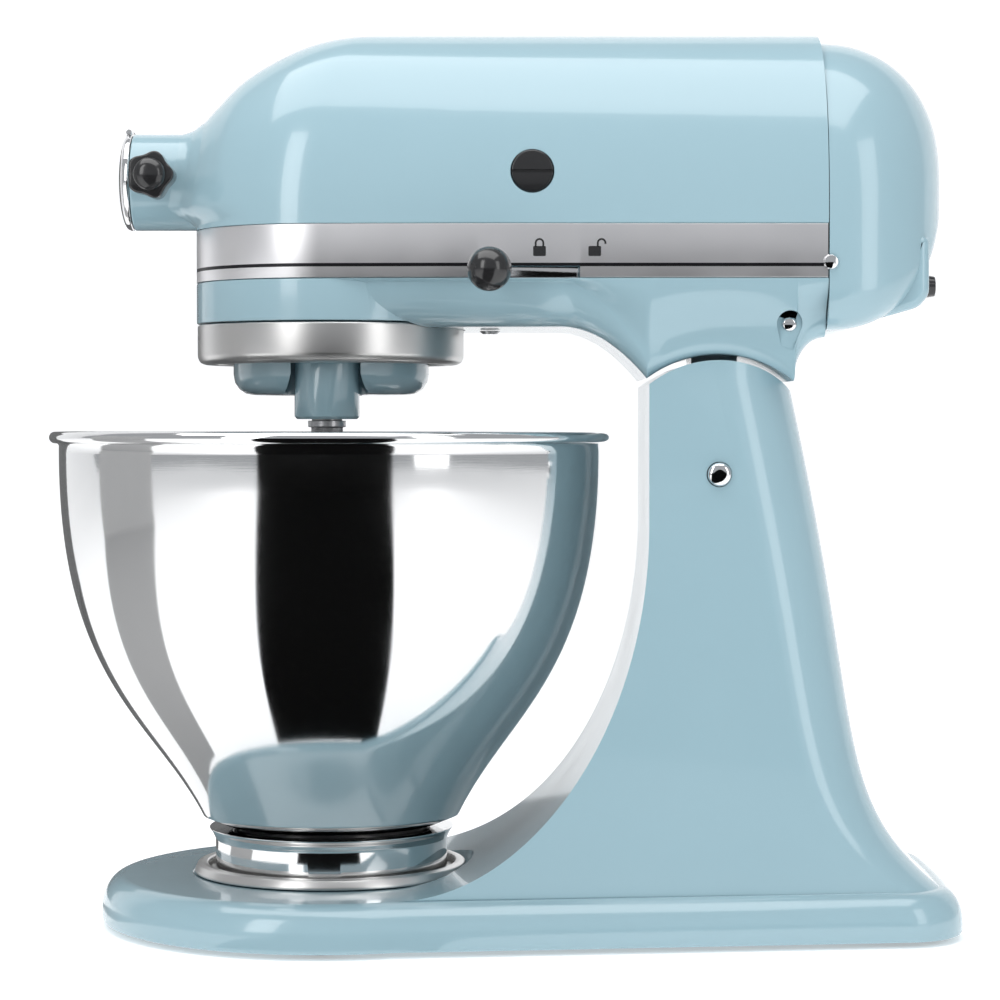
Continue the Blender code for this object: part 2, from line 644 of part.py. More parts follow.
def loaf_solid(inset, low_z, seam_x):
    """The closed solid under the arch: both sides, the ridge, a flat underside and a flat back."""
    half = loaf(inset, low_z, seam_x)
    other = [[(x, -y, z) for x, y, z in ring] for ring in half]
    points, faces = [], []
    rows = len(half[0])
    for side, rings in ((0, half), (1, other)):
        base = len(points)
        for ring in rings:
            points += ring
        for i in range(len(rings) - 1):
            for k in range(rows - 1):
                a = base + i * rows + k
                faces.append((a, a + rows, a + rows + 1, a + 1))
    offset = len(half) * rows
    under = [i * rows for i in range(len(half))] + [offset + i * rows for i in range(len(half) - 1, 0, -1)]
    faces.append(tuple(under))
    last = (len(half) - 1) * rows
    back = [last + k for k in range(rows)] + [offset + last + k for k in range(rows - 2, -1, -1)]
    faces.append(tuple(back))
    return closed_mesh(points, faces)


def band_solid(inset, low, high, seam_x):
    """An upright solid with the head's plan outline between two heights."""
    half = head_outline(inset, seam_x)
    return extruded(half + [(x, -y) for x, y in reversed(half[1:])], low, high)


def sliced(shape, z):
    """Cut a shape off flat below a height and close the cut."""
    geometry = list(shape.verts) + list(shape.edges) + list(shape.faces)
    cut = bmesh.ops.bisect_plane(shape, geom=geometry, plane_co=(0, 0, z), plane_no=(0, 0, -1), clear_outer=True)
    rim = [item for item in cut["geom_cut"] if isinstance(item, bmesh.types.BMEdge)]
    bmesh.ops.holes_fill(shape, edges=rim)
    return tidied(shape)


def make_upper_housing(head):
    """The arched top of the head with its attachment hub, open underneath and at the back."""
    high = BAND_TOP_Z + GAP
    shell = piece("upper_housing", loaf_solid(0.0, high, SEAM_X), "enamel", head, 30)
    hub = HUB_RADIUS
    nose_x = BOWL_X - HEAD_FRONT_RADIUS
    profile = [
        (0, HUB_FACE_X), (hub - 0.0006, HUB_FACE_X), (hub, HUB_FACE_X + 0.0006), (hub, nose_x - 0.0050),
        (hub + 0.0016, nose_x - 0.0007), (hub + 0.0053, nose_x + 0.0042), (hub + 0.0120, nose_x + 0.0104),
        (hub + 0.0150, nose_x + 0.0150), (hub + 0.0150, nose_x + 0.0280), (0, nose_x + 0.0280),
    ]
    hub_tube = sliced(turned(profile, (0, 0, SHAFT_Z), "X", 20), high + 0.0002)
    combine(shell, "UNION", hub_tube, band_solid(RECESS, SPLIT_Z + GAP, high + 0.0030, SEAM_X - 0.0002))
    wall = RECESS + CASTING_WALL
    combine(shell, "DIFFERENCE", loaf_solid(CASTING_WALL, high + 0.0020, SEAM_X + 0.001))
    combine(shell, "DIFFERENCE", band_solid(wall, SPLIT_Z - 0.001, high + 0.0040, SEAM_X + 0.002))
    bore = rod(HUB_BORE, HUB_FACE_X - 0.001, nose_x + 0.040, (0, 0, SHAFT_Z), "X", 24)
    knob_hole = rod(0.0034, -0.030, -0.004, (hub_knob_x(), 0, SHAFT_Z), "Y", 12)
    combine(shell, "DIFFERENCE", bore, knob_hole)
    for side in (-1, 1):
        combine(shell, "DIFFERENCE", rod(
            BRUSH_CAP_RADIUS + GAP, side * 0.040, side * 0.070, (BRUSH_X, 0, SHAFT_Z), "Y", 16,
        ))


def hub_knob_x():
    """The attachment knob stands halfway along the hub."""
    return HUB_FACE_X + HUB_KNOB_SETBACK


def belly_section(x, inset):
    """Half of one slice across the lower housing, from its open top down to the middle of its underside."""
    low = underside_z(x) + inset
    top = SPLIT_Z - GAP
    narrow = min(1.0, max(0.0, (x - BOWL_X - 0.085) / 0.045))
    half = head_half(x, inset + 0.00005)
    bottom_half = (half - 0.0030) * (1 - narrow) + (NECK_HALF_WIDTH - inset) * narrow
    corner = 0.0200 * (1 - narrow) + 0.0060 * narrow
    corner = min(corner, (BAND_BOTTOM_Z - low) * 0.9)
    points = [(half - RECESS, top), (half - RECESS, BAND_BOTTOM_Z - GAP), (half, BAND_BOTTOM_Z - GAP)]
    points.append(((half * 0.35 + bottom_half * 0.65), low + corner + (BAND_BOTTOM_Z - low - corner) * 0.35))
    points += [(bottom_half - corner + y, low + corner + z) for y, z in arc(corner, 0, -90, 5)]
    points.append((0.0, low))
    return points


def underside_z(x):
    """Height of the head's underside: flat belly, down the neck, over the column's arc, up to the seam."""
    front_x, back_x = HINGE_X - NECK_FRONT, HINGE_X + NECK_REAR
    saddle_front = HINGE_Z + math.sqrt(SADDLE_RADIUS**2 - (HINGE_X - front_x) ** 2)
    if x <= front_x:
        drop = max(0.0, (x - (front_x - NECK_RUN)) / NECK_RUN)
        return BELLY_Z - (BELLY_Z - saddle_front) * drop**2
    if x <= back_x:
        return HINGE_Z + math.sqrt(SADDLE_RADIUS**2 - (x - HINGE_X) ** 2)
    rise = min(1.0, (x - back_x) / (SEAM_X - back_x))
    saddle_back = HINGE_Z + math.sqrt(SADDLE_RADIUS**2 - (back_x - HINGE_X) ** 2)
    return saddle_back + (BELLY_Z - 0.0040 - saddle_back) * (1 - (1 - rise) ** 2) ** 0.5


def arm_solid(inset, start_x, end_x, lift=0.0):
    """The arm and neck of the lower housing as a solid, skinned from slices along its length."""
    front_x, back_x = HINGE_X - NECK_FRONT, HINGE_X + NECK_REAR
    places = [start_x, BOWL_X + 0.085]
    places += list(np.linspace(front_x - NECK_RUN, front_x, 5))
    places += list(np.linspace(front_x, back_x, 7))[1:]
    places += [back_x + (SEAM_X - back_x) * k for k in (0.15, 0.5)] + [end_x]
    rings = []
    for x in places:
        half = belly_section(min(x, SEAM_X), inset)
        half = [(y, z + (lift if k < 1 else 0.0)) for k, (y, z) in enumerate(half)]
        rings.append([(x, y, z) for y, z in half] + [(x, -y, z) for y, z in reversed(half[:-1])])
    return loft(rings)


def make_lower_housing(head):
    """The lower half of the head: gear case, belly, neck and the lug that the hinge pin goes through."""
    low, floor = case_bottom_z(), case_floor_z()
    top = SPLIT_Z - GAP
    nose, wall = HEAD_FRONT_RADIUS, CASTING_WALL
    axis = (BOWL_X, 0, 0)
    shell = piece("lower_housing", arm_solid(0.0, BOWL_X, SEAM_X - 0.0001), "enamel", head, 30)
    combine(shell, "DIFFERENCE", rod(nose + GAP, BELLY_Z - 0.02, low, axis, steps=24))
    case = turned([
        (0, low), (nose - 0.0006, low), (nose, low + 0.0006), (nose, BAND_BOTTOM_Z - GAP),
        (nose - RECESS, BAND_BOTTOM_Z - GAP), (nose - RECESS, top + 0.00005), (0, top + 0.00005),
    ], axis, steps=24)
    combine(shell, "UNION", case)
    combine(shell, "DIFFERENCE", arm_solid(wall, BOWL_X + nose, SEAM_X + 0.002, 0.002))
    cavity = rod(nose - RECESS - wall, floor, top + 0.001, axis, steps=24)
    pocket = rod(PINION_TEETH * GEAR_MODULE / 2 + 0.0030, floor, top + 0.002, (WHEEL_X, WHEEL_Y, 0), steps=20)
    well = rod(nose - wall, low - 0.001, floor - wall, axis, steps=24)
    shaft_hole = rod(CENTRE_SHAFT_RADIUS + RUNNING_GAP, low, top, axis, steps=16)
    combine(shell, "DIFFERENCE", cavity, pocket, well, shaft_hole)
    add_lug(shell)
    for side, start, travel in LEVER_SLOTS:
        near, far = sorted((side * 0.045, side * 0.060))
        combine(shell, "DIFFERENCE", block(
            (start - SLOT_REACH, near, HINGE_Z + SLOT_LOW - 0.0004),
            (start + travel + SLOT_REACH, far, HINGE_Z + SLOT_HIGH + 0.0004),
        ))


def case_bottom_z():
    """Underside of the gear case, which the drip ring meets."""
    return BELLY_Z + 0.0022


def case_floor_z():
    """Top of the floor between the gears and the planetary's well."""
    return BAND_BOTTOM_Z + 0.0012


def add_lug(shell):
    """The hinge lug: a round eye on the pin and a web up to the neck, between the column's cheeks."""
    half = LUG_HALF_WIDTH
    eye = rod(LUG_RADIUS, -half, half, (HINGE_X, 0, HINGE_Z), "Y", 28)
    web_half = half - 0.0002
    web = block((HINGE_X - LUG_WEB_HALF, -web_half, HINGE_Z), (HINGE_X + LUG_WEB_HALF, web_half, HINGE_Z + SADDLE_RADIUS + 0.003))
    bore = rod(HINGE_PIN_RADIUS + 0.0001, -0.02, 0.02, (HINGE_X, 0, HINGE_Z), "Y", 24)
    combine(shell, "UNION", eye, web)
    combine(shell, "DIFFERENCE", bore)


def cover_section(inset):
    """Half the rear cover's rim, from the ridge down to the middle of its underside."""
    half = HEAD_HALF_WIDTH - inset
    top = BAND_TOP_Z + HEAD_HEIGHT - COVER_STEP - inset
    middle = BAND_TOP_Z
    low = BELLY_Z - 0.0014 + inset
    points = [(0.0, top)]
    for k in range(1, 7):
        turn = math.radians(90 - 90 * k / 6)
        points.append((half * math.cos(turn) ** (2 / HEAD_CURVE), middle + (top - middle) * math.sin(turn) ** (2 / HEAD_CURVE)))
    corner = 0.014
    points.append((half, low + corner + 0.008))
    points += [(half - corner + y, low + corner + z) for y, z in arc(corner, 0, -90, 4)]
    points.append((0.0, low))
    return points


def cover_solid(inset, start_x):
    """The rear cover's dome: its rim drawn in towards the motor shaft's end."""
    rim = cover_section(inset)
    length = COVER_LENGTH - inset
    centre = SHAFT_Z + 0.0010
    rings = []
    if start_x < SEAM_X:
        rings.append([(start_x, y, z) for y, z in rim] + [(start_x, -y, z) for y, z in reversed(rim[1:-1])])
    for k in range(7):
        turn = math.radians(84 * k / 6)
        scale = math.cos(turn) ** (2 / COVER_CURVE)
        x = SEAM_X + GAP + length * math.sin(turn) ** (2 / COVER_CURVE)
        ring = [(x, y * scale, centre + (z - centre) * scale) for y, z in rim]
        rings.append(ring + [(x, -y, z) for x, y, z in reversed(ring[1:-1])])
    return loft(rings)


def cover_box(inset):
    """The squarer box low on the rear cover, which holds the cord's entry."""
    half = COVER_BOX_HALF - inset
    back = SEAM_X + COVER_BOX_LENGTH - inset
    low, high = BELLY_Z - 0.0016 + inset, BAND_TOP_Z - 0.004
    front = SEAM_X + GAP if not inset else SEAM_X - 0.002
    side = [
        (front, low), (front + 0.0040, low), (back - 0.0043, low + 0.0092 - inset * 0.4), (back, low + 0.0141),
        (back, high), (front, high + 0.01),
    ]
    return extruded(side, -half, half, "XZ")


def make_rear_cover(head):
    """The domed cover at the back of the head, screwed on over the motor's end."""
    cover = piece("rear_cover", cover_solid(0.0, SEAM_X), "enamel", head, 30)
    combine(cover, "UNION", cover_box(0.0))
    combine(cover, "DIFFERENCE", cover_solid(COVER_WALL, SEAM_X - 0.002), cover_box(COVER_WALL))
    hole = rod(0.0040, 0.030, 0.060, (SEAM_X, 0, gland_z()), "X", 16)
    screw = rod(0.0026, 0.030, 0.060, (SEAM_X, 0, SHAFT_Z - 0.004), "X", 12)
    combine(cover, "DIFFERENCE", hole, screw)
    return cover


def gland_z():
    return BELLY_Z + 0.0175


def make_trim_band(head):
    """The bright band round the head, which hides the joint between the two housings."""
    back = SEAM_X - GAP
    inner, outer = head_outline(BAND_THICKNESS, back, 13), head_outline(0.0, back, 13)
    outline = [(x, -y) for x, y in reversed(outer[1:])] + outer
    outline += list(reversed(inner)) + [(x, -y) for x, y in inner[1:]]
    band = piece("trim_band", extruded(outline, BAND_BOTTOM_Z, BAND_TOP_Z), "band_aluminium", head, 30)
    for side, start, travel in LEVER_SLOTS:
        near, far = sorted((side * 0.045, side * 0.060))
        combine(band, "DIFFERENCE", block(
            (start - SLOT_REACH, near, HINGE_Z + SLOT_LOW - 0.002),
            (start + travel + SLOT_REACH, far, HINGE_Z + SLOT_HIGH),
        ))


def make_drip_ring(head):
    """The brushed ring round the planetary, with a rolled lower edge."""
    high = case_bottom_z() - GAP
    low = HINGE_Z + DRIP_RING_LOW
    outer = HEAD_FRONT_RADIUS - 0.0003
    profile = [
        (outer - 0.0012, high), (outer, high - 0.0004), (outer, low + 0.0030), (outer - 0.0009, low + 0.0009),
        (outer - 0.0030, low), (outer - 0.0080, low), (outer - 0.0080, low + 0.0012),
        (outer - 0.0035, low + 0.0014), (outer - 0.0012, low + 0.0036),
    ]
    piece("drip_ring", turned(profile, (BOWL_X, 0, 0), steps=24, ring=True), "brushed_steel", head)


# ---------------------------------------------------------------- gears and motor
def gear_outline(teeth, phase, inwards=False):
    """Pointed teeth: a tip and a root for each. The first tip points along the phase angle."""
    pitch = teeth * GEAR_MODULE / 2
    tip, root = (pitch - ADDENDUM, pitch + DEDENDUM) if inwards else (pitch + ADDENDUM, pitch - DEDENDUM)
    points = []
    for k in range(2 * teeth):
        angle = phase + math.pi * k / teeth
        radius = root if k % 2 else tip
        points.append((radius * math.cos(angle), radius * math.sin(angle)))
    return points


def spur_gear(teeth, phase, bore, low, high, centre):
    """A flat gear with a round bore, standing on a vertical axis."""
    outer = gear_outline(teeth, phase)
    count = len(outer)
    inner = [(bore * math.cos(phase + 2 * math.pi * k / count), bore * math.sin(phase + 2 * math.pi * k / count))
             for k in range(count)]
    rings = []
    for outline, z in ((outer, low), (outer, high), (inner, high), (inner, low)):
        rings.append([(centre[0] + x, centre[1] + y, z) for x, y in outline])
    return loft(rings, loop=True)


def bevel_gear(teeth, mate_teeth, phase, face, bore, apex, axis):
    """A bevel gear whose teeth run towards the point where the two shafts' axes cross."""
    pitch, reach = teeth * GEAR_MODULE / 2, mate_teeth * GEAR_MODULE / 2
    cone = math.hypot(pitch, reach)
    shrink = 1 - face / cone
    count = 2 * teeth
    angles = [phase + math.pi * k / teeth for k in range(count)]
    big = []
    for k in range(count):
        off = -DEDENDUM if k % 2 else ADDENDUM
        big.append((pitch + off * reach / cone, reach - off * pitch / cone))
    rings = [
        [(bore, reach + 0.0030)] * count, big, [(r * shrink, h * shrink) for r, h in big],
        [(bore, min(h for r, h in big) * shrink + 0.0012)] * count,
    ]
    placed = []
    for ring in rings:
        row = []
        for (radius, away), angle in zip(ring, angles):
            across, up = radius * math.cos(angle), radius * math.sin(angle)
            if axis == "Z":
                row.append((apex[0] + across, apex[1] + up, apex[2] - away))
            else:
                row.append((apex[0] - away, apex[1] + across, apex[2] + up))
        placed.append(row)
    return loft(placed, loop=True)


def worm_thread(start, end, lead):
    """A worm as a lobed section that twists along the shaft."""
    slices = 14
    rings = []
    for k in range(slices + 1):
        x = start + (end - start) * k / slices
        ring = []
        for i in range(3 * WORM_STARTS):
            angle = 2 * math.pi * (i / (3 * WORM_STARTS) + (x - start) / lead)
            radius = WORM_RADIUS + (ADDENDUM if i % 3 == 0 else -0.3 * DEDENDUM)
            ring.append((x, radius * math.cos(angle), SHAFT_Z + radius * math.sin(angle)))
        rings.append(ring)
    return loft(rings)


def make_ring_gear(head):
    """The fixed ring with teeth inside, pressed into the gear case above the planetary."""
    inner = gear_outline(RING_TEETH, math.radians(-90) + math.pi / RING_TEETH, inwards=True)
    outer_radius = HEAD_FRONT_RADIUS - CASTING_WALL - RUNNING_GAP
    outer = [(outer_radius * math.cos(math.atan2(y, x)), outer_radius * math.sin(math.atan2(y, x))) for x, y in inner]
    low, high = ring_gear_heights()
    rings = []
    for outline, z in ((outer, low), (outer, high), (inner, high), (inner, low)):
        rings.append([(BOWL_X + x, y, z) for x, y in outline])
    piece("ring_gear", loft(rings, loop=True), "machined_steel", head)


def ring_gear_heights():
    """The ring gear stands just under the gear case's floor."""
    high = case_floor_z() - CASTING_WALL - 0.0010
    return high - 0.0090, high


def make_planetary(planetary):
    """The casting that swings the beater round the bowl, with the centre shaft that drives it."""
    low = HINGE_Z + PLANETARY_LOW
    gear_low = ring_gear_heights()[0]
    high = gear_low - 0.0030
    radius, corner = PLANETARY_RADIUS, 0.0080
    profile = [(0, low)] + [(radius - corner + x, low + corner + z) for x, z in arc(corner, -90, 0, 5)]
    profile += [(radius, high - 0.0010), (radius - 0.0010, high), (0, high)]
    axis = (BOWL_X, 0, 0)
    shaft_axis = (BOWL_X, -ORBIT, 0)
    casting = piece("planetary_casting", turned(profile, axis, steps=24), "enamel", planetary)
    boss = BEATER_BOSS_RADIUS
    combine(casting, "DIFFERENCE", tube(boss - 0.0010, boss + 0.0038, low - 0.001, low + 0.0130, shaft_axis))
    boss_rod = rod(boss, HINGE_Z + BEATER_BOSS_LOW, high - 0.0008, shaft_axis, steps=20, bevel=0.0010)
    sleeve = rod(CENTRE_SHAFT_RADIUS + 0.0035, high - 0.0020, case_floor_z() - CASTING_WALL - 0.0006, axis, steps=16)
    combine(casting, "UNION", boss_rod, sleeve)
    bore = rod(BEATER_SHAFT_RADIUS + GAP, HINGE_Z + 0.010, high + 0.010, shaft_axis, steps=20)
    combine(casting, "DIFFERENCE", bore, rod(CENTRE_SHAFT_RADIUS + GAP, low + 0.0060, case_floor_z(), axis, steps=16))

    apex = (BOWL_X, 0, SHAFT_Z)
    gear_z = case_floor_z() + GEAR_LIFT
    bevel_back = SHAFT_Z - HUB_BEVEL_TEETH * GEAR_MODULE / 2 - 0.0030
    shaft = rod(CENTRE_SHAFT_RADIUS, low + 0.0066, bevel_back + 0.0060, axis, steps=16, bevel=0.0006)
    piece("centre_shaft", shaft, "machined_steel", planetary)
    mesh_angle = math.atan2(WHEEL_Y, WHEEL_X - BOWL_X)
    bore_radius = CENTRE_SHAFT_RADIUS + GAP
    gear = spur_gear(CENTRE_TEETH, mesh_angle, bore_radius, gear_z, gear_z + GEAR_FACE, axis)
    piece("centre_gear", gear, "machined_steel", planetary)
    bevel = bevel_gear(BEVEL_TEETH, HUB_BEVEL_TEETH, math.pi, BEVEL_FACE, bore_radius, apex, "Z")
    piece("centre_bevel", bevel, "machined_steel", planetary)


def make_wheel_shaft(wheel):
    """The upright shaft with the worm wheel on top and the pinion below."""
    axis = (WHEEL_X, WHEEL_Y, 0)
    gear_z = case_floor_z() + GEAR_LIFT
    radius = SHAFT_RADIUS
    piece("pinion_shaft", rod(radius, case_floor_z() + GAP, SHAFT_Z + 0.0100, axis, steps=14), "machined_steel", wheel)
    phase = math.atan2(WHEEL_Y, WHEEL_X - BOWL_X) + math.pi + math.pi / PINION_TEETH
    pinion = spur_gear(PINION_TEETH, phase, radius + GAP, gear_z + 0.0002, gear_z + GEAR_FACE + 0.0008, axis)
    piece("drive_pinion", pinion, "machined_steel", wheel)
    worm_wheel = spur_gear(WHEEL_TEETH, -math.pi / 2, radius + GAP, SHAFT_Z - 0.0040, SHAFT_Z + 0.0040, axis)
    piece("worm_wheel", worm_wheel, "worm_bronze", wheel)


def make_armature(armature):
    """The motor's turning parts: shaft with its worm, laminated core, commutator and cooling fan."""
    axis = (0, 0, SHAFT_Z)
    worm_start, worm_end = WHEEL_X - 0.0100, WHEEL_X + 0.0120
    shaft = piece("armature_shaft", rod(SHAFT_RADIUS, worm_start - 0.0045, SEAM_X - 0.0040, axis, "X", 14),
                  "machined_steel", armature)
    lead = WORM_STARTS * math.pi * GEAR_MODULE
    combine(shaft, "UNION", worm_thread(worm_start, worm_end, lead))
    fit = SHAFT_RADIUS + GAP
    piece("commutator", tube(fit, COMMUTATOR_RADIUS, BRUSH_X - 0.0070, BRUSH_X + 0.0070, axis, "X", 20), "copper", armature)
    core = tube(fit, CORE_RADIUS, MOTOR_X - CORE_HALF_LENGTH, MOTOR_X + CORE_HALF_LENGTH, axis, "X", 20)
    piece("armature_core", core, "machined_steel", armature)
    blades = 9
    outline = []
    for k in range(blades):
        angle = 2 * math.pi * k / blades
        for radius, turn in ((0.0100, -0.10), (0.0290, -0.10), (0.0300, 0.02), (0.0120, 0.10)):
            outline.append((radius * math.cos(angle + turn), SHAFT_Z + radius * math.sin(angle + turn)))
    fan = piece("cooling_fan", extruded(outline, MOTOR_X + 0.0310, MOTOR_X + 0.0400, "YZ"), "black_plastic", armature)
    combine(fan, "DIFFERENCE", rod(fit, MOTOR_X, MOTOR_X + 0.06, axis, "X", 14))


def make_motor_frame(head):
    """What stands still round the armature: field core, its windings, bearings and their brackets."""
    axis = (0, 0, SHAFT_Z)
    field = tube(FIELD_BORE, FIELD_RADIUS, MOTOR_X - FIELD_HALF_LENGTH, MOTOR_X + FIELD_HALF_LENGTH, axis, "X", 24)
    piece("motor_field", field, "machined_steel", head)
    start, end = FIELD_HALF_LENGTH + GAP, FIELD_HALF_LENGTH + 0.0065
    for name, near, far in (("field_winding_front", -end, -start), ("field_winding_rear", start, end)):
        winding = tube(FIELD_BORE + 0.0015, FIELD_RADIUS - 0.0030, MOTOR_X + near, MOTOR_X + far, axis, "X", 20)
        piece(name, winding, "copper", head)
    for name, bracket, x in (
        ("bearing_front", "bearing_bracket_front", WHEEL_X + 0.0220),
        ("bearing_rear", "bearing_bracket_rear", MOTOR_X + 0.0465),
    ):
        bush = BUSH_RADIUS
        piece(name, tube(SHAFT_RADIUS + GAP, bush, x - 0.0040, x + 0.0040, axis, "X", 16), "worm_bronze", head)
        plate = tube(bush + GAP, 0.0150, x - 0.0035, x + 0.0035, axis, "X", 16)
        made = piece(bracket, plate, "cast_zinc", head)
        combine(made, "UNION", block((x - 0.0020, -0.0440, SHAFT_Z - 0.0240), (x + 0.0020, -0.0140, SHAFT_Z + 0.0050)))
        combine(made, "UNION", block((x - 0.0020, 0.0140, SHAFT_Z - 0.0240), (x + 0.0020, 0.0440, SHAFT_Z + 0.0050)))
    for side, label in ((-1, "right"), (1, "left")):
        place = (BRUSH_X, 0, SHAFT_Z)
        cap = piece(f"brush_cap_{label}", rod(BRUSH_CAP_RADIUS, *sorted((side * 0.0460, side * brush_cap_face())),
                                              place, "Y", 20, 0.0006), "black_plastic", head)
        slot_low, slot_high = sorted((side * (brush_cap_face() - 0.0012), side * (brush_cap_face() + 0.002)))
        combine(cap, "DIFFERENCE", block((BRUSH_X - 0.010, slot_low, SHAFT_Z - 0.0007),
                                         (BRUSH_X + 0.010, slot_high, SHAFT_Z + 0.0007)))
        holder = tube(0.0042, 0.0065, *sorted((side * 0.0200, side * 0.0455)), place, "Y", 14)
        piece(f"brush_holder_{label}", holder, "nylon", head)
        brush = rod(0.0038, *sorted((side * 0.0113, side * 0.0330)), place, "Y", 10)
        piece(f"carbon_brush_{label}", brush, "carbon", head)


def brush_cap_face():
    """The caps stand flush with the housing's side."""
    share = ((SHAFT_Z - BAND_TOP_Z) / HEAD_HEIGHT) ** HEAD_CURVE
    return HEAD_HALF_WIDTH * (1 - share) ** (1 / HEAD_CURVE) - 0.0004


def make_hub_drive(hub_drive):
    """The shaft that turns attachments, with its bevel gear and a square socket in its front end."""
    axis = (0, 0, SHAFT_Z)
    apex = (BOWL_X, 0, SHAFT_Z)
    big_end = BOWL_X - BEVEL_TEETH * GEAR_MODULE / 2
    socket = HUB_FACE_X + SOCKET_DEPTH
    profile = [
        (0, socket), (DRIVE_HEAD_RADIUS, socket), (DRIVE_HEAD_RADIUS, socket + DRIVE_HEAD_LENGTH),
        (DRIVE_SHAFT_RADIUS, socket + DRIVE_HEAD_LENGTH),
        (DRIVE_SHAFT_RADIUS, big_end + 0.0020), (0, big_end + 0.0020),
    ]
    shaft = piece("hub_drive_shaft", turned(profile, axis, "X", 20), "machined_steel", hub_drive)
    half = SOCKET_HALF
    combine(shaft, "DIFFERENCE", block((socket - 0.002, -half, SHAFT_Z - half), (socket + DRIVE_HEAD_LENGTH - 0.0010, half, SHAFT_Z + half)))
    bevel = bevel_gear(HUB_BEVEL_TEETH, BEVEL_TEETH, -math.pi / 2 + math.pi / HUB_BEVEL_TEETH, BEVEL_FACE,
                       DRIVE_SHAFT_RADIUS + GAP, apex, "X")
    piece("hub_bevel", bevel, "machined_steel", hub_drive)


def make_hub_bush(head):
    """The bronze bush that carries the attachment drive in the hub."""
    start = HUB_FACE_X + SOCKET_DEPTH + DRIVE_HEAD_LENGTH + RUNNING_GAP
    bush = tube(DRIVE_SHAFT_RADIUS + GAP, HUB_BORE - GAP, start, start + 0.0080, (0, 0, SHAFT_Z), "X", 20)
    piece("hub_bush", bush, "worm_bronze", head)


# ---------------------------------------------------------------- beater
def beater_half(z):
    """Half-width of the flat beater, which keeps clear of the bowl's wall all the way round its orbit."""
    return min(BEATER_HALF_WIDTH, bowl_radius(z) - ORBIT - BEATER_WALL_GAP)


def beater_outline(inset, middle):
    """Half a shield: from the spine out along the shoulder, down the bowl's curve and back to the spine."""
    high = BOWL_RIM_Z - BEATER_DROP - inset
    low = BOWL_FLOOR_Z + BOWL_WALL + BEATER_FLOOR_GAP + inset
    heights = np.linspace(high - 0.012, low + 0.004, 7)
    side = [(max(beater_half(z) - inset, middle + 0.001), z) for z in heights]
    return [(middle, high)] + side + [(middle, low)]


def make_beater(beater):
    """The shaft that the beater hangs on, its cross pin and gear, and the flat beater itself."""
    axis = (BOWL_X, -ORBIT, 0)
    gear_low, gear_high = ring_gear_heights()
    radius = BEATER_SHAFT_RADIUS
    end = BOWL_RIM_Z - BEATER_DROP + 0.0080
    bottom_of_boss = HINGE_Z + BEATER_BOSS_LOW
    profile = [
        (0, end), (radius - 0.0008, end), (radius, end + 0.0008), (radius, bottom_of_boss - 0.0032),
        (radius + 0.0012, bottom_of_boss - 0.0030), (radius + 0.0012, bottom_of_boss - RUNNING_GAP),
        (radius - GAP, bottom_of_boss - RUNNING_GAP), (radius - GAP, gear_high + 0.0004), (0, gear_high + 0.0004),
    ]
    shaft = piece("beater_shaft", turned(profile, axis, steps=20), "machined_steel", beater)
    pin_z = end + 0.0060
    pin_hole = rod(0.0019, -0.02, 0.02, (BOWL_X, -ORBIT, pin_z), "X", 10)
    combine(shaft, "DIFFERENCE", pin_hole)
    piece("beater_pin", rod(0.0016, -0.0105, 0.0105, (BOWL_X, -ORBIT, pin_z), "X", 10), "machined_steel", beater)
    phase = -math.pi / 2
    gear = spur_gear(AGITATOR_TEETH, phase, radius, gear_low + 0.0003, gear_high - 0.0003, axis)
    piece("agitator_gear", gear, "machined_steel", beater)

    half = beater_outline(0.0, 0.0)
    outline = half + [(-x, z) for x, z in reversed(half[1:-1])]
    thick = BEATER_HALF_THICKNESS
    blade = piece("flat_beater", extruded(outline, -thick, thick, "XZ", axis), "cast_zinc", beater)
    window = beater_outline(BEATER_FRAME, BEATER_SPINE_HALF)
    for side in (-1, 1):
        cut = [(side * x, z) for x, z in window]
        combine(blade, "DIFFERENCE", extruded(cut, -0.01, 0.01, "XZ", axis))
    low, high = BOWL_RIM_Z - BEATER_DROP - 0.006, end + 0.0180
    combine(blade, "UNION", rod(0.0098, low, high, axis, steps=18))
    combine(blade, "DIFFERENCE", rod(radius + GAP, end - 0.0010, high + 0.001, axis, steps=20))
    slot = block((BOWL_X - 0.0120, -ORBIT - 0.0020, pin_z - 0.0020), (BOWL_X + 0.0120, -ORBIT + 0.0020, high + 0.001))
    combine(blade, "DIFFERENCE", slot)


# ---------------------------------------------------------------- controls
def ball_knob(centre, side):
    """A lever's round black knob on its Y axis, with a flat inner end."""
    x, y, z = centre
    radius = LOCK_KNOB_RADIUS
    profile = [(0, -0.0070), (0.0050, -0.0070)]
    profile += [(radius * math.cos(math.radians(a)), 0.0008 + radius * 0.95 * math.sin(math.radians(a)))
                for a in (-40, -15, 10, 35, 60, 78)]
    profile.append((0, 0.0008 + radius * 0.95))
    shape = turned(profile, (0, 0, 0), "Y", 20)
    if side < 0:
        bmesh.ops.rotate(shape, verts=shape.verts, cent=(0, 0, 0), matrix=Matrix.Rotation(math.pi, 3, "X"))
    bmesh.ops.translate(shape, verts=shape.verts, vec=Vector((x, y, z)))
    return shape


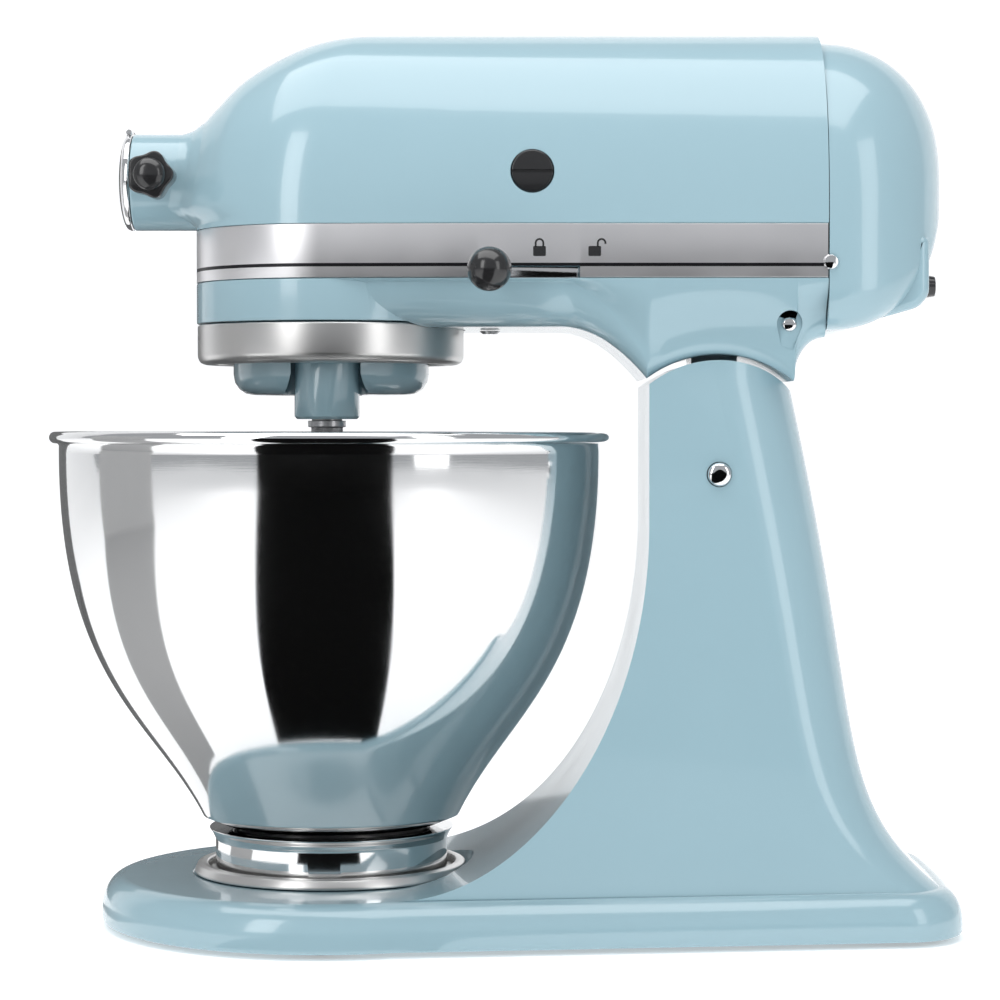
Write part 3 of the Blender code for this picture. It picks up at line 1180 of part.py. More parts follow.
def make_lever(name, lever, side, start, reach):
    """A slider behind the band, the stem through its slot and the knob on the stem."""
    z = HINGE_Z + (SLOT_LOW + SLOT_HIGH) / 2
    inner, outer = SLIDER_OUTER - SLIDER_THICKNESS, SLIDER_OUTER
    near, far = sorted((side * inner, side * outer))
    bar = block((start - 0.0080, near, z - 0.0026), (start + reach, far, z + 0.0030), 0.0004)
    slider = piece(f"{name}_slider", bar, "chrome", lever)
    near, far = sorted((side * (inner + 0.0005), side * LEVER_STEM_END))
    combine(slider, "UNION", block((start - 0.0021, near, z - 0.0015), (start + 0.0021, far, z + 0.0015)))
    knob_y = LEVER_STEM_END + 0.0090
    knob = piece(f"{name}_knob", ball_knob((start, side * knob_y, z), side), "black_plastic", lever)
    near, far = sorted((side * (knob_y - 0.012), side * (LEVER_STEM_END + GAP)))
    combine(knob, "DIFFERENCE", block((start - 0.0024, near, z - 0.0018), (start + 0.0024, far, z + 0.0018)))


def make_hub_cover(cover):
    """The hinged bright cap over the attachment hub."""
    face, radius = HUB_FACE_X - GAP, HUB_RADIUS
    profile = [(0, face - 0.0053), (radius * 0.45, face - 0.0049), (radius * 0.80, face - 0.0035),
               (radius - 0.0006, face - 0.0018), (radius, face - 0.0012), (radius, face), (0, face)]
    cap = piece("hub_cover", turned(profile, (0, 0, SHAFT_Z), "X", 20), "chrome", cover)
    x, z = hub_cover_hinge()
    combine(cap, "UNION", rod(0.0012, -0.0060, 0.0060, (x, 0, z), "Y", 12),
            block((x - 0.0009, -0.0050, z - 0.0040), (x + 0.0007, 0.0050, z)))


def hub_cover_hinge():
    """The hub cover's hinge, at the top of the hub and just in front of its face."""
    return HUB_FACE_X - 0.0017, SHAFT_Z + HUB_RADIUS + 0.0005


def make_hub_knob(knob):
    """The scalloped black knob that clamps an attachment, and its threaded stud."""
    place = (hub_knob_x(), 0, SHAFT_Z)
    outline = []
    for k in range(30):
        angle = 2 * math.pi * k / 30
        radius = HUB_KNOB_RADIUS - 0.0007 + 0.0007 * math.cos(5 * angle)
        outline.append((radius * math.cos(angle), radius * math.sin(angle)))
    grip = piece("hub_knob", extruded(outline, -0.0400, -0.0280, "XZ", place), "black_plastic", knob, 50)
    dome = [(0, -0.0445), (0.0040, -0.0438), (0.0062, -0.0420), (0.0066, -0.0390), (0, -0.0390)]
    collar = rod(0.0055, -0.0290, -0.0225, place, "Y", 16)
    combine(grip, "UNION", turned(dome, place, "Y", 20), collar)
    combine(grip, "DIFFERENCE", rod(0.0032, -0.0330, -0.0200, place, "Y", 12))
    piece("hub_knob_stud", rod(0.0029, -0.0325, -0.0145, place, "Y", 12, 0.0004), "machined_steel", knob)


# ---------------------------------------------------------------- small fixed pieces
def make_rear_parts(head):
    """Control board, cord gland and screws."""
    x = SEAM_X + 0.0045
    board = block((x, -0.0260, SHAFT_Z - 0.0330), (x + 0.0016, 0.0260, SHAFT_Z + 0.0220))
    board = piece("control_board", board, "board_green", head)
    for y, z, size in ((-0.014, 0.008, 0.008), (0.006, -0.016, 0.010), (0.015, 0.009, 0.006)):
        low = (x + 0.0010, y - size / 2, SHAFT_Z + z - size / 2)
        combine(board, "UNION", block(low, (x + 0.0080, y + size / 2, SHAFT_Z + z + size / 2)))
    back = SEAM_X + COVER_BOX_LENGTH
    profile = [(0, back - 0.0100), (0.0036, back - 0.0100), (0.0036, back + GAP), (0.0049, back + GAP),
               (0.0047, back + 0.0030), (0.0040, back + 0.0075), (0, back + 0.0075)]
    piece("cord_gland", turned(profile, (0, 0, gland_z()), "X", 16), "black_plastic", head)
    back = SEAM_X + COVER_LENGTH
    screw = [(0, back - 0.0200), (0.0022, back - 0.0200), (0.0022, back - 0.0010), (0, back - 0.0004)]
    piece("rear_cover_screw", turned(screw, (0, 0, SHAFT_Z - 0.004), "X", 12), "machined_steel", head)
    head_profile = [(0, 0), (0.0031, 0), (0.0026, 0.0009), (0.0012, 0.0013), (0, 0.0014)]
    for side, label in ((-1, "right"), (1, "left")):
        y = HEAD_HALF_WIDTH + GAP
        profile = [(radius, side * (y + rise)) for radius, rise in head_profile]
        place = (SEAM_X + 0.0008, 0, BAND_BOTTOM_Z + 0.0058)
        piece(f"band_screw_{label}", turned(profile, place, "Y", 14), "chrome", head)
    profile = [(0, -0.0012), (0.0030, -0.0012), (0.0042, 0), (0, 0)]
    place = (BELLY_SCREW_X, 0, BELLY_Z - GAP)
    piece("belly_screw", turned(profile, place, steps=14), "machined_steel", head)


def joint_bodies():
    """The empties of the moving bodies, each on its joint's axis."""
    root = body("root", (0, 0, 0))
    head = body("head", (HINGE_X, 0, HINGE_Z), root)
    planetary = body("planetary", (BOWL_X, 0, SHAFT_Z), head)
    hinge = hub_cover_hinge()
    lever_z = HINGE_Z + (SLOT_LOW + SLOT_HIGH) / 2
    return {
        "root": root,
        "head": head,
        "planetary": planetary,
        "beater": body("beater", (BOWL_X, -ORBIT, BOWL_RIM_Z), planetary),
        "wheel": body("wheel", (WHEEL_X, WHEEL_Y, SHAFT_Z), head),
        "armature": body("armature", (MOTOR_X, 0, SHAFT_Z), head),
        "hub_drive": body("hub_drive", (HUB_FACE_X + 0.03, 0, SHAFT_Z), head),
        "hub_flap": body("hub_flap", (hinge[0], 0, hinge[1]), head),
        "hub_clamp": body("hub_clamp", (hub_knob_x(), -0.03, SHAFT_Z), head),
        "lock_lever": body("lock_lever", (LOCK_X, -0.05, lever_z), head),
        "speed_lever": body("speed_lever", (SPEED_X, 0.05, lever_z), head),
        "bowl_turn": body("bowl_turn", (BOWL_X, 0, BASE_TOP_Z), root),
    }


def build():
    """Build every piece, body by body."""
    clear_scene()
    bodies = joint_bodies()
    root, head = bodies["root"], bodies["head"]
    for make in (make_pedestal, make_feet, make_hinge_pin, make_clamp_plate):
        make(root)
    for make in (make_bowl, make_bowl_foot):
        make(bodies["bowl_turn"])
    for make in (
        make_upper_housing, make_lower_housing, make_rear_cover, make_trim_band, make_drip_ring, make_ring_gear,
        make_motor_frame, make_hub_bush, make_rear_parts,
    ):
        make(head)
    make_planetary(bodies["planetary"])
    make_beater(bodies["beater"])
    make_wheel_shaft(bodies["wheel"])
    make_armature(bodies["armature"])
    make_hub_drive(bodies["hub_drive"])
    make_hub_cover(bodies["hub_flap"])
    make_hub_knob(bodies["hub_clamp"])
    make_lever("lock", bodies["lock_lever"], -1, LOCK_X, LOCK_SLIDER_REACH)
    make_lever("speed", bodies["speed_lever"], 1, SPEED_X, SPEED_SLIDER_REACH)


build()
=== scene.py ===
"""The looks of a tilt-head stand mixer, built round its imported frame.

The castings, bowl, band, ring, levers and knobs are surfaces worked out with numpy: functions of two parameters on a
grid, or profiles carried along a path. The planetary casing, beater and small screws are eased copies of the frame's
meshes. The working parts inside keep the frame's own meshes, with finishes of their own.
Sizes are in metres, +Z is up, and the attachment hub points towards -X.
"""

import json
import logging
import math
from dataclasses import dataclass
from enum import Enum

import bmesh
import bpy
import numpy as np
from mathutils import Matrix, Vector


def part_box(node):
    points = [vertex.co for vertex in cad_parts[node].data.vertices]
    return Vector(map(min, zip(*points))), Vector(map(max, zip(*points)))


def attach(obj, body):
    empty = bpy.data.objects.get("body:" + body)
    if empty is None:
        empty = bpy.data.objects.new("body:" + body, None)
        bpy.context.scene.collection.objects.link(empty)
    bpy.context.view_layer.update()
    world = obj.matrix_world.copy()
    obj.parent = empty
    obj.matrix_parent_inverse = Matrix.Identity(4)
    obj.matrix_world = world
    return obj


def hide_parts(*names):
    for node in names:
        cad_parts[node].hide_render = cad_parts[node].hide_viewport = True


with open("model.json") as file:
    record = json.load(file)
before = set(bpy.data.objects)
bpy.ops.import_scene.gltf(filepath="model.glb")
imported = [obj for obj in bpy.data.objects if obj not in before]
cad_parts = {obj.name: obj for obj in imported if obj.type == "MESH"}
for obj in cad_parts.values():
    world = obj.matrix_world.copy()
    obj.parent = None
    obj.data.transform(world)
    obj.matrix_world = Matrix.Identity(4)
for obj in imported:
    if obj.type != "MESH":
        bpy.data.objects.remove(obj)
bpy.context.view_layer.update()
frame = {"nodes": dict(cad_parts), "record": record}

Array = np.ndarray
log = logging.getLogger("stand_mixer")

GAP = 0.0003
LEVER_RUNS = ((-1, 0.0315), (1, 0.0500))  # side of the machine, and how far back its lever's slot runs


class Body(Enum):
    """The bodies that a piece can ride on."""

    BASE = "base"
    BOWL = "bowl_turn"
    HEAD = "head"
    PLANETARY = "planetary"
    BEATER = "beater"
    HUB_FLAP = "hub_flap"
    HUB_CLAMP = "hub_clamp"
    LOCK = "lock_lever"
    SPEED = "speed_lever"


class Axis(Enum):
    """The axis that a turned piece spins about, or that an outline is drawn out along."""

    X = 0
    Y = 1
    Z = 2


class Cut(Enum):
    """What a second solid does to a first."""

    JOIN = "UNION"
    TAKE = "DIFFERENCE"


class Grain(Enum):
    """The fine texture of a finish."""

    PEEL = "orange peel"
    BRUSHED = "brushed along X"
    SPUN = "spun about Z"
    CAST = "sand cast"
    MOULDED = "moulded"


# ---------------------------------------------------------------- shapes
@dataclass
class Shape:
    """A closed surface as points and faces.

    Attributes:
        points: One row of x, y, z for each corner.
        faces: Corner numbers, face by face.
    """

    points: Array
    faces: list[list[int]]

    def __add__(self, other: "Shape") -> "Shape":
        """Both surfaces as one."""
        shift = len(self.points)
        more = [[corner + shift for corner in face] for face in other.faces]
        return Shape(np.vstack([self.points, other.points]), self.faces + more)

    def mesh(self, name: str) -> bpy.types.Mesh:
        """Put the surface into a mesh, with meeting points joined and its faces turned outwards.

        Args:
            name: The mesh's name.

        Returns:
            The new mesh.
        """
        mesh = bpy.data.meshes.new(name)
        mesh.from_pydata(self.points.tolist(), [], self.faces)
        work = bmesh.new()
        work.from_mesh(mesh)
        bmesh.ops.remove_doubles(work, verts=work.verts, dist=2e-6)
        bmesh.ops.dissolve_degenerate(work, dist=1e-7, edges=work.edges)
        bmesh.ops.recalc_face_normals(work, faces=work.faces)
        work.to_mesh(mesh)
        work.free()
        return mesh


def grid_faces(rows: int, columns: int, around: bool, looped: bool) -> list[list[int]]:
    """Number the four corners of every cell of a grid.

    Args:
        rows: Points along the first parameter.
        columns: Points along the second.
        around: Whether the second parameter closes on itself.
        looped: Whether the first does.

    Returns:
        One list of four corner numbers for each cell.
    """
    index = np.arange(rows * columns).reshape(rows, columns)
    if looped:
        index = np.vstack([index, index[:1]])
    if around:
        index = np.hstack([index, index[:, :1]])
    cells = np.stack([index[:-1, :-1], index[:-1, 1:], index[1:, 1:], index[1:, :-1]], axis=-1)
    return cells.reshape(-1, 4).tolist()


def skin(rings: Array, looped: bool = False) -> Shape:
    """Carry a closed ring along a path. The first and last rings are closed with flat faces unless they join.

    Args:
        rings: An array of rings by points by 3.
        looped: Whether the last ring joins the first.

    Returns:
        The closed surface.
    """
    rows, columns = rings.shape[:2]
    faces = grid_faces(rows, columns, True, looped)
    if not looped:
        faces.append(list(range(columns)))
        faces.append(list(range((rows - 1) * columns, rows * columns)))
    return Shape(rings.reshape(-1, 3), faces)


def rounded(profile: list[tuple[float, float]], radius: float, steps: int = 5, closed: bool = False) -> Array:
    """Round a profile's corners: each gives way to a parabola between points one radius, or half a side, from it.

    Args:
        profile: Corner points.
        radius: How far from a corner its curve starts.
        steps: Points in each curve.
        closed: Whether the last point joins the first.

    Returns:
        The rounded profile, one row for each point.
    """
    corners = np.array(profile, float)
    before, after = np.roll(corners, 1, axis=0), np.roll(corners, -1, axis=0)
    t = np.linspace(0, 1, steps)[None, :, None]

    def near(other: Array) -> Array:
        """The point one radius along a side, or half-way along a short one."""
        way = other - corners
        length = np.maximum(np.linalg.norm(way, axis=1, keepdims=True), 1e-9)
        return corners + way * np.minimum(radius / length, 0.5)

    start, end = near(before)[:, None], near(after)[:, None]
    middle = corners[:, None]
    curves = (1 - t) ** 2 * start + 2 * (1 - t) * t * middle + t**2 * end
    if closed:
        return curves.reshape(-1, 2)
    return np.vstack([corners[:1], curves[1:-1].reshape(-1, 2), corners[-1:]])


def turned(profile: Array, centre: tuple[float, float, float], axis: Axis = Axis.Z, steps: int = 96,
           ring: bool = False) -> Shape:
    """Spin a profile: a point at radius r and height h goes round the circle r cos a, r sin a at h along the axis.

    Args:
        profile: Rows of radius and height.
        centre: A point on the axis, which heights are measured from.
        axis: The axis to spin about.
        steps: Points round the circle.
        ring: Whether the profile closes on itself, off the axis.

    Returns:
        The closed surface.
    """
    profile = np.asarray(profile, float)
    angle = np.linspace(0, 2 * math.pi, steps, endpoint=False)
    radius, height = profile[:, :1], np.repeat(profile[:, 1:], steps, axis=1)
    round_one, round_two = radius * np.cos(angle), radius * np.sin(angle)
    places = {
        Axis.Z: (round_one, round_two, height),
        Axis.X: (height, round_one, round_two),
        Axis.Y: (round_two, height, round_one),
    }[axis]
    points = np.stack(places, axis=-1) + np.array(centre)
    return skin(points, looped=ring)


def drawn_out(outline: Array, low: float, high: float, axis: Axis, edge: float = 0.0) -> Shape:
    """Draw an outline out along an axis, its rims eased by moving each point towards the outline's middle.

    Args:
        outline: Rows of the two other coordinates, in the order x, y, z.
        low: Where it starts along the axis.
        high: Where it ends.
        axis: The axis to draw it out along.
        edge: Width of the eased rim.

    Returns:
        The closed surface.
    """
    outline = np.asarray(outline, float)
    ahead, behind = np.roll(outline, -1, axis=0), np.roll(outline, 1, axis=0)
    along = ahead - behind
    normal = np.stack([-along[:, 1], along[:, 0]], axis=1)
    normal /= np.maximum(np.linalg.norm(normal, axis=1, keepdims=True), 1e-9)
    area = float(np.sum(outline[:, 0] * ahead[:, 1] - ahead[:, 0] * outline[:, 1]))
    normal *= 1.0 if area > 0 else -1.0
    turn = np.radians(np.linspace(0, 90, 5)) if edge else np.array([0.0])
    inset = edge * (1 - np.sin(turn))
    rise = edge * (1 - np.cos(turn))
    levels = np.concatenate([low + rise, (high - rise)[::-1]])
    insets = np.concatenate([inset, inset[::-1]])
    flat = outline[None] + normal[None] * insets[:, None, None]
    height = np.broadcast_to(levels[:, None], flat.shape[:2])
    parts = {
        Axis.X: (height, flat[..., 0], flat[..., 1]),
        Axis.Y: (flat[..., 0], height, flat[..., 1]),
        Axis.Z: (flat[..., 0], flat[..., 1], height),
    }[axis]
    return skin(np.stack(parts, axis=-1))


def block(low: tuple[float, float, float], high: tuple[float, float, float], edge: float = 0.0) -> Shape:
    """A box between two corners, its upright edges and rims eased."""
    corners = [(low[0], low[1]), (high[0], low[1]), (high[0], high[1]), (low[0], high[1])]
    outline = rounded(corners, edge * 1.5, 4, closed=True) if edge else np.array(corners)
    return drawn_out(outline, low[2], high[2], Axis.Z, edge)


def rod(radius: float, start: float, end: float, centre: tuple[float, float, float], axis: Axis = Axis.Z,
        steps: int = 64, edge: float = 0.0) -> Shape:
    """A solid round bar between two heights along its axis, its rims eased."""
    low, high = min(start, end), max(start, end)
    corners = [(0.0, low), (radius, low), (radius, high), (0.0, high)]
    return turned(rounded(corners, edge) if edge else np.array(corners), centre, axis, steps)


def arc(radius: float, start: float, end: float, count: int, centre: tuple[float, float] = (0.0, 0.0)) -> Array:
    """Points on a circle between two angles in degrees: centre plus radius times cosine and sine."""
    angle = np.radians(np.linspace(start, end, count))
    return np.stack([centre[0] + radius * np.cos(angle), centre[1] + radius * np.sin(angle)], axis=1)


def bezier(corners: list[tuple[float, float]], count: int) -> Array:
    """Points along one cubic Bezier curve, the sum of its four corners with their Bernstein weights."""
    t = np.linspace(0, 1, count)[:, None]
    weights = ((1 - t) ** 3, 3 * (1 - t) ** 2 * t, 3 * (1 - t) * t**2, t**3)
    return sum(weight * np.array(corner) for weight, corner in zip(weights, corners))


def eased(share: Array) -> Array:
    """The smooth step 3s^2 - 2s^3 of a share that is held between 0 and 1."""
    share = np.clip(share, 0, 1)
    return share * share * (3 - 2 * share)


def carved(name: str, first: Shape, steps: list[tuple[Cut, Shape]]) -> bpy.types.Mesh:
    """Join solids to a first one, or take them away, in order.

    Args:
        name: The mesh's name.
        first: The solid to start from.
        steps: What to do, and with which solid.

    Returns:
        The finished mesh.
    """
    helpers = []

    def stand(label: str, shape: Shape) -> bpy.types.Object:
        """Put a shape in the scene for as long as it is needed."""
        obj = bpy.data.objects.new(label, shape.mesh(label))
        bpy.context.scene.collection.objects.link(obj)
        helpers.append(obj)
        return obj

    base = stand(f"{name}_work", first)
    for number, (cut, shape) in enumerate(steps):
        modifier = base.modifiers.new(f"{cut.value}{number}", "BOOLEAN")
        modifier.operation = cut.value
        modifier.solver = "MANIFOLD"
        modifier.object = stand(f"{name}_tool{number}", shape)
    graph = bpy.context.evaluated_depsgraph_get()
    mesh = bpy.data.meshes.new_from_object(base.evaluated_get(graph))
    mesh.name = name
    for obj in helpers:
        old = obj.data
        bpy.data.objects.remove(obj, do_unlink=True)
        bpy.data.meshes.remove(old)
    return mesh


# ---------------------------------------------------------------- shader groups and finishes
class Graph:
    """Adds and joins the nodes of one tree."""

    def __init__(self, tree: bpy.types.NodeTree) -> None:
        """Work on a tree."""
        self.tree = tree

    def add(self, kind: str, values: dict[str, object] | None = None, **settings: object) -> bpy.types.Node:
        """Add a node.

        Args:
            kind: The node's type.
            values: Input values by socket name.
            **settings: Properties of the node.

        Returns:
            The new node.
        """
        node = self.tree.nodes.new(kind)
        for key, value in settings.items():
            setattr(node, key, value)
        for key, value in (values or {}).items():
            node.inputs[key].default_value = value
        return node

    def join(self, source: bpy.types.NodeSocket, target: bpy.types.NodeSocket) -> None:
        """Run a link from an output to an input."""
        self.tree.links.new(source, target)


def new_group(name: str, inputs: dict[str, str],
              outputs: dict[str, str]) -> tuple[Graph, bpy.types.Node, bpy.types.Node]:
    """Make an empty node group with named sockets.

    Args:
        name: The group's name.
        inputs: Socket types by input name.
        outputs: Socket types by output name.

    Returns:
        Its graph, its input node and its output node.
    """
    tree = bpy.data.node_groups.new(name, "ShaderNodeTree")
    for label, kind in inputs.items():
        tree.interface.new_socket(label, in_out="INPUT", socket_type=kind)
    for label, kind in outputs.items():
        tree.interface.new_socket(label, in_out="OUTPUT", socket_type=kind)
    graph = Graph(tree)
    return graph, graph.add("NodeGroupInput"), graph.add("NodeGroupOutput")


FLOAT, VECTOR = "NodeSocketFloat", "NodeSocketVector"


def mottle_group() -> bpy.types.NodeTree:
    """Slow clouds between two values, for handling marks and uneven polish."""
    name = "mottle"
    if name in bpy.data.node_groups:
        return bpy.data.node_groups[name]
    graph, entry, result = new_group(name, {"Vector": VECTOR, "Scale": FLOAT, "Low": FLOAT, "High": FLOAT},
                                     {"Value": FLOAT, "Mask": FLOAT})
    noise = graph.add("ShaderNodeTexNoise", {"Detail": 4.0, "Roughness": 0.6})
    spread = graph.add("ShaderNodeMapRange", {"From Min": 0.3, "From Max": 0.7})
    graph.join(entry.outputs["Vector"], noise.inputs["Vector"])
    graph.join(entry.outputs["Scale"], noise.inputs["Scale"])
    graph.join(noise.outputs["Fac"], spread.inputs["Value"])
    graph.join(entry.outputs["Low"], spread.inputs["To Min"])
    graph.join(entry.outputs["High"], spread.inputs["To Max"])
    graph.join(spread.outputs["Result"], result.inputs["Value"])
    graph.join(noise.outputs["Fac"], result.inputs["Mask"])
    return bpy.data.node_groups[name]


def grain_group() -> bpy.types.NodeTree:
    """Fine relief that can be drawn out along an axis: noise on coordinates multiplied by a stretch."""
    name = "grain"
    if name in bpy.data.node_groups:
        return bpy.data.node_groups[name]
    graph, entry, result = new_group(name, {"Vector": VECTOR, "Stretch": VECTOR, "Detail": FLOAT}, {"Height": FLOAT})
    pulled = graph.add("ShaderNodeVectorMath", operation="MULTIPLY")
    noise = graph.add("ShaderNodeTexNoise", {"Scale": 1.0, "Roughness": 0.55})
    graph.join(entry.outputs["Vector"], pulled.inputs[0])
    graph.join(entry.outputs["Stretch"], pulled.inputs[1])
    graph.join(pulled.outputs["Vector"], noise.inputs["Vector"])
    graph.join(entry.outputs["Detail"], noise.inputs["Detail"])
    graph.join(noise.outputs["Fac"], result.inputs["Height"])
    return bpy.data.node_groups[name]


GRAINS: dict[Grain, tuple[tuple[float, float, float], float, float]] = {
    # stretch of the coordinates, detail, depth of the relief in metres
    Grain.PEEL: ((420.0, 420.0, 420.0), 1.0, 0.000012),
    Grain.BRUSHED: ((60.0, 3000.0, 3000.0), 3.0, 0.000010),
    Grain.SPUN: ((50.0, 50.0, 3400.0), 3.0, 0.000006),
    Grain.CAST: ((900.0, 900.0, 900.0), 5.0, 0.000060),
    Grain.MOULDED: ((1800.0, 1800.0, 1800.0), 2.0, 0.000008),
}


@dataclass(frozen=True)
class Finish:
    """One finish of the mixer.

    Attributes:
        slot: The record's material slot.
        colour: Main colour, linear.
        shade: Second colour, which clouds in slowly.
        metallic: 1 for bare metal.
        rough: Lowest and highest roughness.
        grain: The fine relief.
        coat: Weight of a clear coat.
    """

    slot: str
    colour: tuple[float, float, float]
    shade: tuple[float, float, float]
    metallic: float
    rough: tuple[float, float]
    grain: Grain
    coat: float = 0.0

    def material(self) -> bpy.types.Material:
        """The finish's material, made on its first use."""
        name = f"{self.slot}_finish"
        return bpy.data.materials.get(name) or self.build(name)

    def build(self, name: str) -> bpy.types.Material:
        """Build the node tree: clouded colour and roughness, and fine relief.

        Args:
            name: The material's name.

        Returns:
            The new material.
        """
        material = bpy.data.materials.new(name)
        material.use_nodes = True
        material.diffuse_color = (*self.colour, 1.0)
        graph = Graph(material.node_tree)
        shader = material.node_tree.nodes["Principled BSDF"]
        shader.inputs["Metallic"].default_value = self.metallic
        shader.inputs["Coat Weight"].default_value = self.coat
        shader.inputs["Coat Roughness"].default_value = 0.04
        place = graph.add("ShaderNodeTexCoord").outputs["Object"]
        mottle = graph.add("ShaderNodeGroup", node_tree=mottle_group())
        for key, value in (("Scale", 22.0), ("Low", self.rough[0]), ("High", self.rough[1])):
            mottle.inputs[key].default_value = value
        graph.join(place, mottle.inputs["Vector"])
        graph.join(mottle.outputs["Value"], shader.inputs["Roughness"])
        tint = graph.add("ShaderNodeMix", data_type="RGBA")
        tint.inputs["A"].default_value = (*self.colour, 1.0)
        tint.inputs["B"].default_value = (*self.shade, 1.0)
        graph.join(mottle.outputs["Mask"], tint.inputs["Factor"])
        self.colour_over(graph, tint.outputs["Result"], place, shader)
        stretch, detail, depth = GRAINS[self.grain]
        grain = graph.add("ShaderNodeGroup", node_tree=grain_group())
        grain.inputs["Stretch"].default_value = stretch
        grain.inputs["Detail"].default_value = detail
        graph.join(place, grain.inputs["Vector"])
        bump = graph.add("ShaderNodeBump", {"Strength": 0.6, "Distance": depth})
        graph.join(grain.outputs["Height"], bump.inputs["Height"])
        graph.join(bump.outputs["Normal"], shader.inputs["Normal"])
        return material

    def colour_over(self, graph: Graph, colour: bpy.types.NodeSocket, place: bpy.types.NodeSocket,
                    shader: bpy.types.Node) -> None:
        """Feed the clouded colour to the shader."""
        graph.join(colour, shader.inputs["Base Color"])


@dataclass(frozen=True)
class StripedFinish(Finish):
    """A finish with one dark painted stripe between two heights.

    Attributes:
        stripe: Lowest and highest Z of the stripe.
        stripe_colour: The stripe's colour.
    """

    stripe: tuple[float, float] = (0.25875, 0.26005)
    stripe_colour: tuple[float, float, float] = (0.035, 0.035, 0.038)

    def colour_over(self, graph: Graph, colour: bpy.types.NodeSocket, place: bpy.types.NodeSocket,
                    shader: bpy.types.Node) -> None:
        """Paint the stripe where Z lies between its two heights."""
        split = graph.add("ShaderNodeSeparateXYZ")
        middle, half = (self.stripe[0] + self.stripe[1]) / 2, (self.stripe[1] - self.stripe[0]) / 2
        inside = graph.add("ShaderNodeMath", {1: middle, 2: half}, operation="COMPARE")
        paint = graph.add("ShaderNodeMix", data_type="RGBA")
        paint.inputs["B"].default_value = (*self.stripe_colour, 1.0)
        graph.join(place, split.inputs["Vector"])
        graph.join(split.outputs["Z"], inside.inputs[0])
        graph.join(inside.outputs["Value"], paint.inputs["Factor"])
        graph.join(colour, paint.inputs["A"])
        graph.join(paint.outputs["Result"], shader.inputs["Base Color"])


FINISHES: dict[str, Finish] = {made.slot: made for made in (
    Finish("enamel", (0.300, 0.450, 0.510), (0.310, 0.463, 0.524), 0.0, (0.16, 0.22), Grain.PEEL, 0.6),
    Finish("bowl_steel", (0.800, 0.800, 0.800), (0.740, 0.742, 0.745), 1.0, (0.05, 0.10), Grain.SPUN),
    Finish("brushed_steel", (0.700, 0.692, 0.682), (0.620, 0.614, 0.604), 1.0, (0.26, 0.36), Grain.SPUN),
    StripedFinish("band_aluminium", (0.900, 0.890, 0.900), (0.860, 0.850, 0.862), 1.0, (0.30, 0.38), Grain.BRUSHED),
    Finish("chrome", (0.820, 0.820, 0.825), (0.780, 0.780, 0.785), 1.0, (0.04, 0.08), Grain.MOULDED),
    Finish("machined_steel", (0.500, 0.500, 0.510), (0.400, 0.400, 0.405), 1.0, (0.24, 0.36), Grain.SPUN),
    Finish("cast_zinc", (0.430, 0.430, 0.440), (0.360, 0.360, 0.368), 1.0, (0.40, 0.55), Grain.CAST),
    Finish("worm_bronze", (0.560, 0.360, 0.160), (0.460, 0.280, 0.120), 1.0, (0.28, 0.42), Grain.SPUN),
    Finish("copper", (0.620, 0.280, 0.140), (0.500, 0.200, 0.100), 1.0, (0.26, 0.40), Grain.BRUSHED, 0.4),
    Finish("black_plastic", (0.012, 0.012, 0.013), (0.018, 0.018, 0.019), 0.0, (0.14, 0.22), Grain.MOULDED, 0.3),
    Finish("nylon", (0.740, 0.720, 0.650), (0.660, 0.640, 0.570), 0.0, (0.40, 0.52), Grain.MOULDED),
    Finish("board_green", (0.020, 0.100, 0.040), (0.015, 0.075, 0.030), 0.0, (0.38, 0.52), Grain.MOULDED, 0.3),
    Finish("rubber", (0.030, 0.030, 0.030), (0.045, 0.045, 0.044), 0.0, (0.68, 0.82), Grain.CAST),
    Finish("carbon", (0.030, 0.030, 0.030), (0.045, 0.045, 0.046), 0.2, (0.52, 0.66), Grain.CAST),
)}


def add_piece(name: str, mesh: bpy.types.Mesh, slot: str, on: Body, stands_for: tuple[str, ...] = (),
              sharp: float = 34.0, weighted: bool = False) -> bpy.types.Object:
    """Put a finished mesh into the scene on its body.

    Args:
        name: The piece's name.
        mesh: Its mesh, in place.
        slot: The finish that it takes.
        on: The body that it rides on.
        stands_for: Frame nodes that it replaces.
        sharp: Faces that meet at more than this angle, in degrees, keep a hard edge.
        weighted: Whether its normals lean towards its larger faces, as after a cut.

    Returns:
        The new object.
    """
    mesh.materials.clear()
    mesh.materials.append(FINISHES[slot].material())
    mesh.shade_smooth()
    mesh.set_sharp_from_angle(angle=math.radians(sharp))
    obj = bpy.data.objects.new(name, mesh)
    bpy.context.scene.collection.objects.link(obj)
    if weighted:
        modifier = obj.modifiers.new("leaning normals", "WEIGHTED_NORMAL")
        modifier.keep_sharp = True
    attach(obj, on.value)
    if stands_for:
        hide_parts(*stands_for)
    log.info("%s: %d faces on %s", name, len(mesh.polygons), on.value)
    return obj


